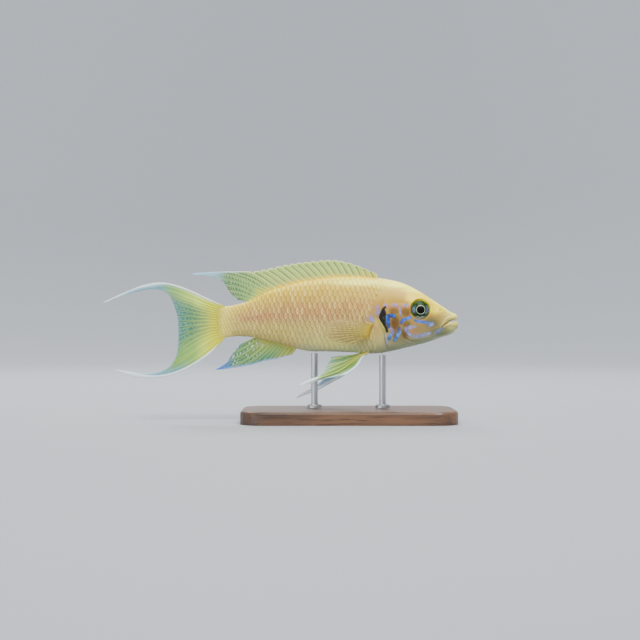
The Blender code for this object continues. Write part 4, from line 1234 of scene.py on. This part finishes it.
# %% Skin and scale finishes
def body_material(name, scaled):
    made, start, shader = new_material(name)
    station, share, rim, tone = attribute(start, "place")
    blue, lavender, black, orange = attribute(start, "marks")
    yellow, pink, grey, cream = attribute(start, "tints")
    mottle = noise(start, 0.9, 3.0, (1, 1, 0.7), 0.6)
    grain = noise(start, 0.4, 2.0)
    colour = band_colours(station, share, noise(start, 5.0, 2.0))
    # The cream paint carries the painted highlight along the back, and the grey paint one field of painted
    # shade on the snout.
    paints = ((yellow * 0.9, (238, 212, 22)), (pink * 0.55, (184, 112, 70)), (grey * 0.8, (78, 90, 64)),
              (cream * 0.9, (255, 250, 110)), ((orange * (0.75 + mottle * 0.4)).clamp(), (90, 60, 24)),
              ((black * 1.05).clamp(), (8, 9, 3)))
    for amount, paint in paints:
        colour = amount.mix(colour, paint)
    colour = stroke_colours(colour, station, share, blue, lavender, mottle)
    if scaled:
        shown = (station.ease(0.3, 0.56) + share.ease(0.25, 0.5)).clamp() * 0.75 + 0.25
        colour = (tone * 0.15).mix(colour, (246, 216, 112))
        pale = rim.band(0.12, 0.3, 0.42, 0.62)
        colour = (pale * shown * (tone * 0.4 + 0.08)).mix(colour, (248, 224, 140))
        colour = (rim.ease(0.5, 0.95) * shown * 0.1).mix(colour, (138, 82, 50), "MULTIPLY")
    else:
        # Painted shade: the mouth, the lips' inner edge and the step behind the gill cover are painted dark
        # reddish.
        painted_shade = rim.clamp()
        colour = painted_shade.mix(colour, (44, 18, 14))
    pearly = 0.44 + (grain - MIDDLE) * 0.16 - blue * 0.14
    add_relief(start, shader, grain, strength=0.25, depth=0.12)
    connect(shader, Base_Color=colour, Roughness=pearly, Coat_Weight=0.12, Coat_Roughness=0.3,
            Subsurface_Weight=0.08, Subsurface_Radius=(0.0022, 0.0011, 0.0007), Specular_IOR_Level=0.32)
    return made


skin_finish = body_material("fish_skin", False)
scale_finish = body_material("fish_scales", True)
print("body materials:", skin_finish.name, scale_finish.name)

# %% [markdown]
# A fin is clear skin over pale rays, so it is partly see-through. Glass would be the obvious finish, but
# it bends the light at two faces a tenth of a millimetre apart and costs much time for little to see.
# So each fin has a plain surface with some transparency, least on the rays. All fins share
# a few helpers that read the numbers kept on their corners: which ray, how far along it and how
# near its crest.

# %% What all fin materials share
TAIL_DOTS = 82.0


def fin_parts(name, last):
    """A new material with a fin's numbers: ray number, share across it, along a ray, ridge and station."""
    made, start, shader = new_material(name)
    across, share, ridge, station = attribute(start, "fin")
    return made, start, shader, across * last, across, share, ridge, station, noise(start, 2.5, 3.0)


def finish_fin(start, shader, colour, solid, clouds):
    """Joins up a fin's colour and how solid it is, with fine relief and an uneven shine."""
    add_relief(start, shader, noise(start, 0.5, 2.0), strength=0.2, depth=0.08)
    connect(shader, Base_Color=colour, Alpha=solid.clamp(), Roughness=0.42 + (clouds - MIDDLE) * 0.2,
            Coat_Weight=0.1, Specular_IOR_Level=0.3)


def wave(value):
    """0 at whole numbers and 1 halfway between them."""
    return (value * math.pi).math("SINE") ** 2


def dotted(number, station, clouds, shift, each=TAIL_DOTS, low=0.35, high=0.6):
    """Dots in rows between the rays, so many along 100 mm."""
    along = station * each + number * 0.5 + clouds * 2.6 + shift
    return (wave(number) * wave(along)).ease(low, high)


print("dots on the tail fin lie", round(100 / TAIL_DOTS, 1), "mm apart")

# %% [markdown]
# The dorsal fin is golden at its root and pale yellow-green above. Between two spines lie a light and a
# dark streak, the soft part behind is bluish with rows of dots, and margin and tip are nearly white.
# The streaks could be drawn one by one. But the part of the ray number after the point says how
# far a place is from one ray to the next, so one formula draws the streaks of all fields.

# %% Dorsal fin material
def dorsal_material():
    made, start, shader, number, ray, share, ridge, station, clouds = fin_parts("dorsal_fin", 25)
    along = share + (clouds - MIDDLE) * 0.2
    spiny = along.ramp([(0.0, (228, 172, 20)), (1.0, (196, 216, 128)), (0.08, (230, 196, 40)),
                        (0.2, (196, 200, 96)), (0.34, (178, 200, 104)), (0.8, (168, 202, 110))])
    soft = along.ramp([(0.0, (212, 196, 44)), (1.0, (42, 110, 92)), (0.22, (142, 190, 98)),
                       (0.6, (60, 136, 86))])
    soft_part = ray.ease(0.66, 0.76)
    colour = soft_part.mix(spiny, soft)
    colour = (ray.ease(0.14, 0.0) * 0.65).mix(colour, (214, 174, 28))
    part = number.math("FRACT")
    light = part.band(0.04, 0.22, 0.4, 0.62) * share.ease(0.08, 0.25)
    dark = part.band(0.5, 0.72, 0.88, 0.98) * share.ease(0.1, 0.3)
    colour = (light * (clouds * 0.5 + 0.2)).mix(colour, (206, 222, 122))
    colour = (dark * (clouds * 0.7 + 0.2)).mix(colour, (78, 104, 42))
    ripples = wave(number * 2.5 + 0.2) * wave(number * 2.5 + share * 1.2)
    streaks = ripples.ease(0.3, 0.8) * share.ease(0.1, 0.3)
    colour = (streaks * clouds * 0.75).mix(colour, (96, 124, 58))
    colour = (ridge * (0.7 - soft_part * 0.42)).mix(colour, (232, 238, 146))
    behind = ray.ease(0.6, 0.74) * share.ease(0.1, 0.25)
    colour = (dotted(number, station, clouds, 0.0, each=118.0) * behind * 0.4).mix(colour, (168, 206, 158))
    colour = (dotted(number, station, clouds, 0.5, each=118.0) * behind * 0.5).mix(colour, (38, 74, 42))
    before_tip = ray.ease(0.84, 0.8)
    margin = (share.ease(0.93, 0.97) * before_tip + share.ease(0.86, 0.93) * soft_part * before_tip).clamp()
    colour = (margin * 0.8).mix(colour, soft_part.mix((222, 228, 140), (160, 200, 222)))
    tip = station.ease(0.69, 0.74)
    colour = (tip * 0.85).mix(colour, (150, 192, 214))
    solid = 0.88 + ridge * 0.12 + margin * 0.12 + share.ease(0.12, 0.0) * 0.12 + tip * 0.12
    finish_fin(start, shader, colour, solid, clouds)
    return made


dorsal_finish = dorsal_material()
print("made:", dorsal_finish.name)

# %% [markdown]
# The anal fin is greener than the dorsal fin, with a dark streak before each ray, a few bright spots and a
# blue margin and tip. It could share the dorsal fin's finish, but its colours follow other places along
# the rays. So it has formulas of its own, made with the same helpers.

# %% Anal fin material
def anal_material():
    made, start, shader, number, ray, share, ridge, station, clouds = fin_parts("anal_fin", 12)
    along = share + (clouds - MIDDLE) * 0.2
    colour = along.ramp([(0.0, (178, 166, 62)), (1.0, (64, 124, 110)), (0.25, (136, 170, 84)),
                         (0.6, (80, 144, 94))])
    colour = (ray.ease(0.4, 0.05) * 0.7).mix(colour, (192, 186, 60))
    part = number.math("FRACT")
    dark = part.band(0.5, 0.7, 0.85, 0.98) * share.ease(0.1, 0.3)
    colour = (dark * 0.5).mix(colour, (66, 92, 38))
    colour = (ridge * 0.5).mix(colour, (190, 202, 96))
    behind = ray.ease(0.5, 0.72) * share.ease(0.06, 0.18)
    colour = (dotted(number, station, clouds, 0.5, each=100.0) * behind * 0.4).mix(colour, (38, 72, 56))
    bright = dotted(number, station, clouds, 0.0, each=90.0, low=0.62, high=0.8) * clouds.ease(0.4, 0.55)
    colour = (bright * behind * 0.9).mix(colour, (220, 240, 226))
    edge = share.ease(0.88, 0.95) * ray.ease(0.84, 0.76)
    colour = (edge * 0.8).mix(colour, (124, 166, 212))
    colour = (station.ease(0.665, 0.715) * 0.9).mix(colour, (56, 112, 204))
    finish_fin(start, shader, colour, 0.86 + ridge * 0.14 + edge * 0.2 + share.ease(0.12, 0.0) * 0.2, clouds)
    return made


anal_finish = anal_material()
print("made:", anal_finish.name)

# %% [markdown]
# The tail fin is golden at its root and green at the fork, with dark fields between the rays, and its two
# streamers fade to bluish white. Shares along the rays would be the usual guide, but the outer rays
# are more than twice as long as those at the fork. So its ramps read the distance from the snout, and
# the ray number picks out lobes, fork and leading edges.

# %% Tail fin material
def caudal_material():
    made, start, shader, number, ray, share, ridge, station, clouds = fin_parts("caudal_fin", 16)
    behind = station + (clouds - MIDDLE) * 0.025
    middle = behind.ramp([(0.70, (204, 190, 40)), (0.85, (64, 118, 118)), (0.735, (200, 194, 40)),
                          (0.765, (162, 190, 90)), (0.80, (76, 138, 92)), (0.83, (52, 122, 108))])
    lobes = behind.ramp([(0.70, (204, 192, 24)), (0.92, (120, 174, 196)), (0.745, (206, 212, 40)),
                         (0.78, (212, 236, 90)), (0.85, (134, 176, 96)), (0.885, (112, 168, 142))])
    outer = (ray.ease(0.36, 0.1) + ray.ease(0.62, 0.86)).clamp()
    colour = outer.mix(middle, lobes)
    low_lobe = ray.ease(0.62, 0.8) * station.band(0.75, 0.80, 0.84, 0.88)
    colour = (low_lobe * 0.7).mix(colour, (98, 158, 72))
    colour = (ridge * station.ease(0.735, 0.78) * 0.42).mix(colour, (178, 198, 100))
    dark = (1.0 - ridge) * station.band(0.745, 0.77, 0.80, 0.84) * (1.0 - outer)
    colour = (dark * (clouds * 0.5 + 0.05)).mix(colour, (44, 78, 38))
    paler = dotted(number, station, clouds, 0.0) * station.ease(0.76, 0.79) * (1.0 - outer * 0.6)
    colour = (paler * 0.35).mix(colour, (130, 190, 166))
    fork = share.ease(0.94, 0.99) * ray.band(0.1, 0.16, 0.9, 0.96)
    colour = (fork * 0.4).mix(colour, (110, 160, 176))
    white = station.ease(0.87, 0.93)
    colour = (white * 0.85).mix(colour, (176, 210, 226))
    low_band = ray.ease(0.88, 0.96) * station.band(0.78, 0.87, 0.9, 0.96)
    colour = (low_band * 0.7).mix(colour, (92, 156, 194))
    inner = ray.band(0.03, 0.07, 0.12, 0.3) * station.ease(0.87, 0.9)
    colour = (inner * 0.6).mix(colour, (78, 128, 152))
    lead = (ray.ease(0.035, 0.015) + ray.ease(0.965, 0.985)).clamp() * station.ease(0.71, 0.75)
    colour = (lead * 0.9).mix(colour, (226, 238, 236))
    solid = 0.9 + ridge * 0.1 + white * 0.1 - dark * 0.08 + station.ease(0.76, 0.72) * 0.16
    finish_fin(start, shader, colour, solid, clouds)
    return made


caudal_finish = caudal_material()
print("made:", caudal_finish.name)

# %% [markdown]
# The pelvic fins are olive and yellow with a white leading edge. The left one, behind the other, is painted
# paler and bluish and made more see-through: painted light, for the light that shines through it from behind.
# They could have a material each, but most of their colour is the same. So one formula reads on which side of
# the fish a place lies.

# %% Pelvic fin material
def pelvic_material():
    made, start, shader, _, ray, share, ridge, station, clouds = fin_parts("pelvic_fin", 4)
    along = share + (clouds - MIDDLE) * 0.2
    colour = along.ramp([(0.0, (184, 156, 44)), (1.0, (170, 204, 200)), (0.25, (138, 154, 44)),
                         (0.55, (96, 140, 52)), (0.8, (126, 166, 96))])
    colour = (ray.ease(0.5, 0.9) * 0.5).mix(colour, (58, 120, 72))
    colour = (ridge * 0.6).mix(colour, (206, 218, 104))
    side = start.out(start.node("ShaderNodeSeparateXYZ", Vector=object_place(start)), 1)
    # Painted light: the far, left fin is painted pale blue and made more see-through, where light from behind
    # shines through it.
    far = (side / MM).ease(-0.5, 0.5) * share.ease(0.25, 0.5) * ray.ease(0.6, 0.3)
    colour = (far * 0.9).mix(colour, (140, 190, 226))
    edge = (ray.ease(0.12, 0.04) * share.ease(0.15, 0.3) + station.ease(0.405, 0.44)).clamp()
    colour = (edge * 0.85).mix(colour, (232, 244, 250))
    solid = 0.9 - far * 0.25 + ridge * 0.1 + edge * 0.4 + share.ease(0.2, 0.05) * 0.2
    finish_fin(start, shader, colour, solid, clouds)
    connect(shader, Subsurface_Weight=0.5, Subsurface_Radius=(0.001, 0.001, 0.001))
    return made


pelvic_finish = pelvic_material()
print("made:", pelvic_finish.name)

# %% [markdown]
# The pectoral fins are clear, with brownish rays, and the flank shows through them. The membrane could be
# left out and only the rays modelled, but then the outline of the fin would be lost. So the membrane
# is a quarter solid, and only root and rays are more solid than that.

# %% Pectoral fin material
def pectoral_material():
    made, start, shader, _, _, share, ridge, _, clouds = fin_parts("pectoral_fin", 11)
    along = share + (clouds - MIDDLE) * 0.1
    colour = along.ramp([(0.0, (190, 150, 24)), (1.0, (214, 196, 120)), (0.12, (210, 180, 40)),
                         (0.3, (212, 196, 84)), (0.6, (212, 194, 110))])
    colour = (ridge * share.ease(0.12, 0.3) * 0.95).mix(colour, (112, 74, 26))
    solid = 0.25 + ridge * 0.55 + share.ease(0.35, 0.12) * 0.5
    finish_fin(start, shader, colour, solid, clouds)
    return made


pectoral_finish = pectoral_material()
print("made:", pectoral_finish.name)

# %% [markdown]
# In the eye a black pupil lies in a silver ring and a green iris with silvery streaks. Rings of faces
# could be coloured one by one, but their edges would be stepped. So the distance from the middle,
# kept on each corner, gives pupil, ring and rim. A fine noise breaks up the iris, and a thin clear coat
# gives the wet shine.

# %% Eye material
def eye_material():
    made, start, shader = new_material("fish_eye")
    across, up, radius, pupil = attribute(start, "iris")
    fibres = noise(start, 0.3, 3.0)
    sideways = (across * across / (radius * radius + 0.01)).ease(0.3, 0.8)
    iris = fibres.ease(0.3, 0.7).mix((4, 16, 0), (34, 70, 10))
    low = up.ease(-1.0, -2.0)
    iris = (low * 0.7).mix(iris, (24, 30, 22))
    silver = fibres.ease(0.35, 0.65).mix((22, 38, 44), (104, 124, 138))
    band = radius.band(1.5, 1.8, 2.3, 2.75) * up.ease(1.6, 0.5)
    colour = (sideways * band * 0.9).mix(iris, silver)
    rim = radius.ease(2.6, 2.85)
    colour = (rim * 0.75).mix(colour, (170, 168, 70))
    shine = low * up.ease(-1.7, -2.2) * fibres.ease(0.35, 0.6)
    colour = (shine * 0.6).mix(colour, (196, 204, 190))
    ring = pupil.band(1.2, 1.26, 1.28, 1.36)
    colour = (ring * 0.85).mix(colour, (222, 224, 206))
    colour = pupil.ease(1.26, 1.14).mix(colour, (8, 7, 3))
    add_relief(start, shader, fibres, strength=0.15, depth=0.1)
    connect(shader, Base_Color=colour, Roughness=0.32 + fibres * 0.1, Coat_Weight=0.1, Coat_Roughness=0.1,
            Specular_IOR_Level=0.08)
    return made


eye_finish = eye_material()
print("made:", eye_finish.name)

# %% [markdown]
# The stand is plain: a block of dark oiled wood and two rods of brushed steel that end under the belly.
# Photos of wood and steel could be laid on them, but they would need maps on the solids. So the wood's
# grain is noise drawn out along the block, and the steel's fine rings are noise drawn out round
# the rod. Both follow the place on the solid and need no map.

# %% Stand materials
def wood_material():
    made, start, shader = new_material("oiled_wood")
    grain = noise(start, 5.0, 6.0, (0.12, 1.0, 1.4), 0.62)
    pores = noise(start, 0.7, 2.0, (0.07, 1.0, 1.0))
    colour = grain.ramp([(0.25, (50, 33, 22)), (0.75, (116, 80, 52)), (0.5, (82, 55, 36))])
    colour = (pores.ease(0.56, 0.68) * 0.6).mix(colour, (34, 22, 15))
    add_relief(start, shader, pores, strength=0.35, depth=0.2)
    connect(shader, Base_Color=colour, Roughness=0.42 + grain * 0.18, Coat_Weight=0.15)
    return made


def steel_material():
    made, start, shader = new_material("brushed_steel")
    lines = noise(start, 0.5, 3.0, (0.02, 0.02, 1.0))
    add_relief(start, shader, lines, strength=0.08, depth=0.03)
    connect(shader, Base_Color=opaque((184, 185, 188)), Metallic=1.0, Roughness=0.26 + lines * 0.1)
    return made


wood, steel = wood_material(), steel_material()
for name, finish in (("stand_base", wood), ("stand_rod_front", steel), ("stand_rod_rear", steel)):
    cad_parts[name].data.materials.clear()
    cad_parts[name].data.materials.append(finish)
    print(name, "is now", finish.name)

# %% [markdown]
# Each piece gets its finish and the body it rides on, and the solids that it stands for are hidden. This
# could be worked out from names, but a wrong guess would leave a solid showing through the skin. So every
# piece says it in one call.

# %% Hand the pieces to the frame
def hand_over(piece, finish, slot, *nodes):
    """Gives a piece its finish and its body, and hides the solids that it stands for. The slot is not used.
    """
    piece.data.materials.clear()
    piece.data.materials.append(finish)
    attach(piece, "root")
    if nodes:
        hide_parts(*nodes)


hand_over(skin, skin_finish, "skin", "head", "torso", "tail")
for piece in coat:
    hand_over(piece, scale_finish, "skin")
for piece, word in zip(eyes, ("right", "left")):
    hand_over(piece, eye_finish, "eye", f"eye_{word}")
hand_over(dorsal, dorsal_finish, "fin", "dorsal_fin")
hand_over(anal, anal_finish, "fin", "anal_fin")
hand_over(caudal, caudal_finish, "fin", "caudal_fin_upper", "caudal_fin_lower", "caudal_streamer_upper",
          "caudal_streamer_lower")
for piece, word in zip(pectorals, ("right", "left")):
    hand_over(piece, pectoral_finish, "fin", f"pectoral_fin_{word}")
for piece, word in zip(pelvics, ("right", "left")):
    hand_over(piece, pelvic_finish, "fin", f"pelvic_fin_{word}")
print("handed over:", len([skin, *coat, *eyes, dorsal, anal, caudal, *pectorals, *pelvics]), "pieces")

# %% [markdown]
# A still model wants a plain, bright place without a horizon. A box with a lit back wall would do from one
# side, but its corners show from others. So the floor is one round sheet that curves up all round, made
# from a circle by extruding its edge.

# %% Floor
FLOOR_REACH, FLOOR_CURVE, WALL_HEIGHT = 0.6, 0.6, 0.5
CURVE_STEPS = 12


def raise_edge(step_up, widen, height):
    """Extrudes the chosen edge upwards and widens it about the middle."""
    bpy.ops.mesh.extrude_region_move(TRANSFORM_OT_translate={"value": (0, 0, step_up)})
    bpy.ops.transform.resize(value=(widen, widen, 1), center_override=(0, 0, height))


def build_floor():
    piece = new_piece("studio_floor", bpy.ops.mesh.primitive_circle_add, vertices=96, radius=FLOOR_REACH,
                      fill_type="TRIFAN")
    bpy.ops.object.mode_set(mode="EDIT")
    bpy.ops.mesh.select_all(action="DESELECT")
    bpy.ops.mesh.select_non_manifold()
    reach, height = FLOOR_REACH, 0.0
    for step in range(1, CURVE_STEPS + 1):
        turn = step / CURVE_STEPS * math.pi / 2
        wide, high = FLOOR_REACH + FLOOR_CURVE * math.sin(turn), FLOOR_CURVE * (1 - math.cos(turn))
        raise_edge(high - height, wide / reach, high)
        reach, height = wide, high
    bpy.ops.mesh.extrude_region_move(TRANSFORM_OT_translate={"value": (0, 0, WALL_HEIGHT)})
    bpy.ops.mesh.select_all(action="SELECT")
    bpy.ops.mesh.normals_make_consistent(inside=True)
    bpy.ops.object.mode_set(mode="OBJECT")
    smooth(piece)
    made, _, shader = new_material("pale_floor")
    connect(shader, Base_Color=opaque((144, 148, 154)), Roughness=0.8)
    piece.data.materials.append(made)
    return piece


floor = build_floor()
print("floor reaches", round(max(floor.dimensions) / 2, 2), "m from the middle")

# %% [markdown]
# Colours of a fish read best in soft daylight. One sun lamp would be simple, but it leaves hard shadows and
# glaring spots on smooth skin. So large round lamps above and in front light the fish evenly, and a
# weaker one behind gives the fins some light from the back. Four more light the curved sheet, so that
# it is even from all sides.

# %% Lamps and the light from all round
LAMP_HEIGHT, LAMP_OUT, LAMP_AIM = 0.9, 0.1, 11


def add_lamp(name, place, size, power, colour=(1, 1, 1), aim=(-0.01, 0, 0.03)):
    """A round soft lamp, turned to the fish unless it is aimed elsewhere."""
    lamp = bpy.data.lights.new(name, "AREA")
    lamp.shape, lamp.size, lamp.energy, lamp.color = "DISK", size, power, colour
    made = bpy.data.objects.new(name, lamp)
    made.location = place
    made.rotation_euler = (Vector(aim) - Vector(place)).to_track_quat("-Z", "Y").to_euler()
    bpy.context.scene.collection.objects.link(made)


add_lamp("key", (0.2, -0.4, 0.6), size=0.4, power=7.9, colour=(1.0, 0.98, 0.94))
add_lamp("fill", (-0.45, -0.5, 0.12), size=0.5, power=3.0, colour=(0.94, 0.97, 1.0))
add_lamp("back", (-0.1, 0.45, 0.55), size=0.4, power=4.5)
add_lamp("backdrop", (0.0, LAMP_OUT, LAMP_HEIGHT), size=0.8, power=18.0, aim=(0.0, 1.1, 0.35))
for turn in (90, 180, 270):
    across, along = LAMP_OUT * math.sin(math.radians(turn)), LAMP_OUT * math.cos(math.radians(turn))
    add_lamp(f"surround_{turn}", (across, along, LAMP_HEIGHT), size=0.8, power=9.0,
             aim=(LAMP_AIM * across, LAMP_AIM * along, LAMP_HEIGHT))
world = bpy.data.worlds.new("studio")
bpy.context.scene.world = world
world.use_nodes = True
background = world.node_tree.nodes["Background"]
background.inputs["Color"].default_value = (0.9, 0.95, 1.0, 1)
background.inputs["Strength"].default_value = 0.35
print("lamps:", len(bpy.data.lights))

# %% [markdown]
# The camera looks square at the fish's right side, level with it, as in the photo. A closer camera with a
# wider lens would swell the middle of the fish and shrink its tail. An 85 mm lens 0.453 m away takes in
# 192 mm, so one pixel of the photo is 0.3 mm on the fish.

# %% Camera
CAMERA_STATION, CAMERA_AWAY, CAMERA_LEVEL = 41.55, 453.3, 0.3
camera = bpy.data.objects.new("camera", bpy.data.cameras.new("camera"))
camera.data.lens = 85
camera.data.sensor_width = 36
camera.data.clip_start = 0.01
camera.location = scene_points((CAMERA_STATION, -CAMERA_AWAY, CAMERA_LEVEL))
camera.rotation_euler = (math.pi / 2, 0, 0)
bpy.context.scene.collection.objects.link(camera)
bpy.context.scene.camera = camera
print("camera at", [round(c, 4) for c in camera.location])

# %% [markdown]
# A new piece that sticks out past the solids would make the part larger than its real size. At the end the
# scene is updated, so that every piece stands at its final place.

# %% Update the scene
bpy.context.view_layer.update()
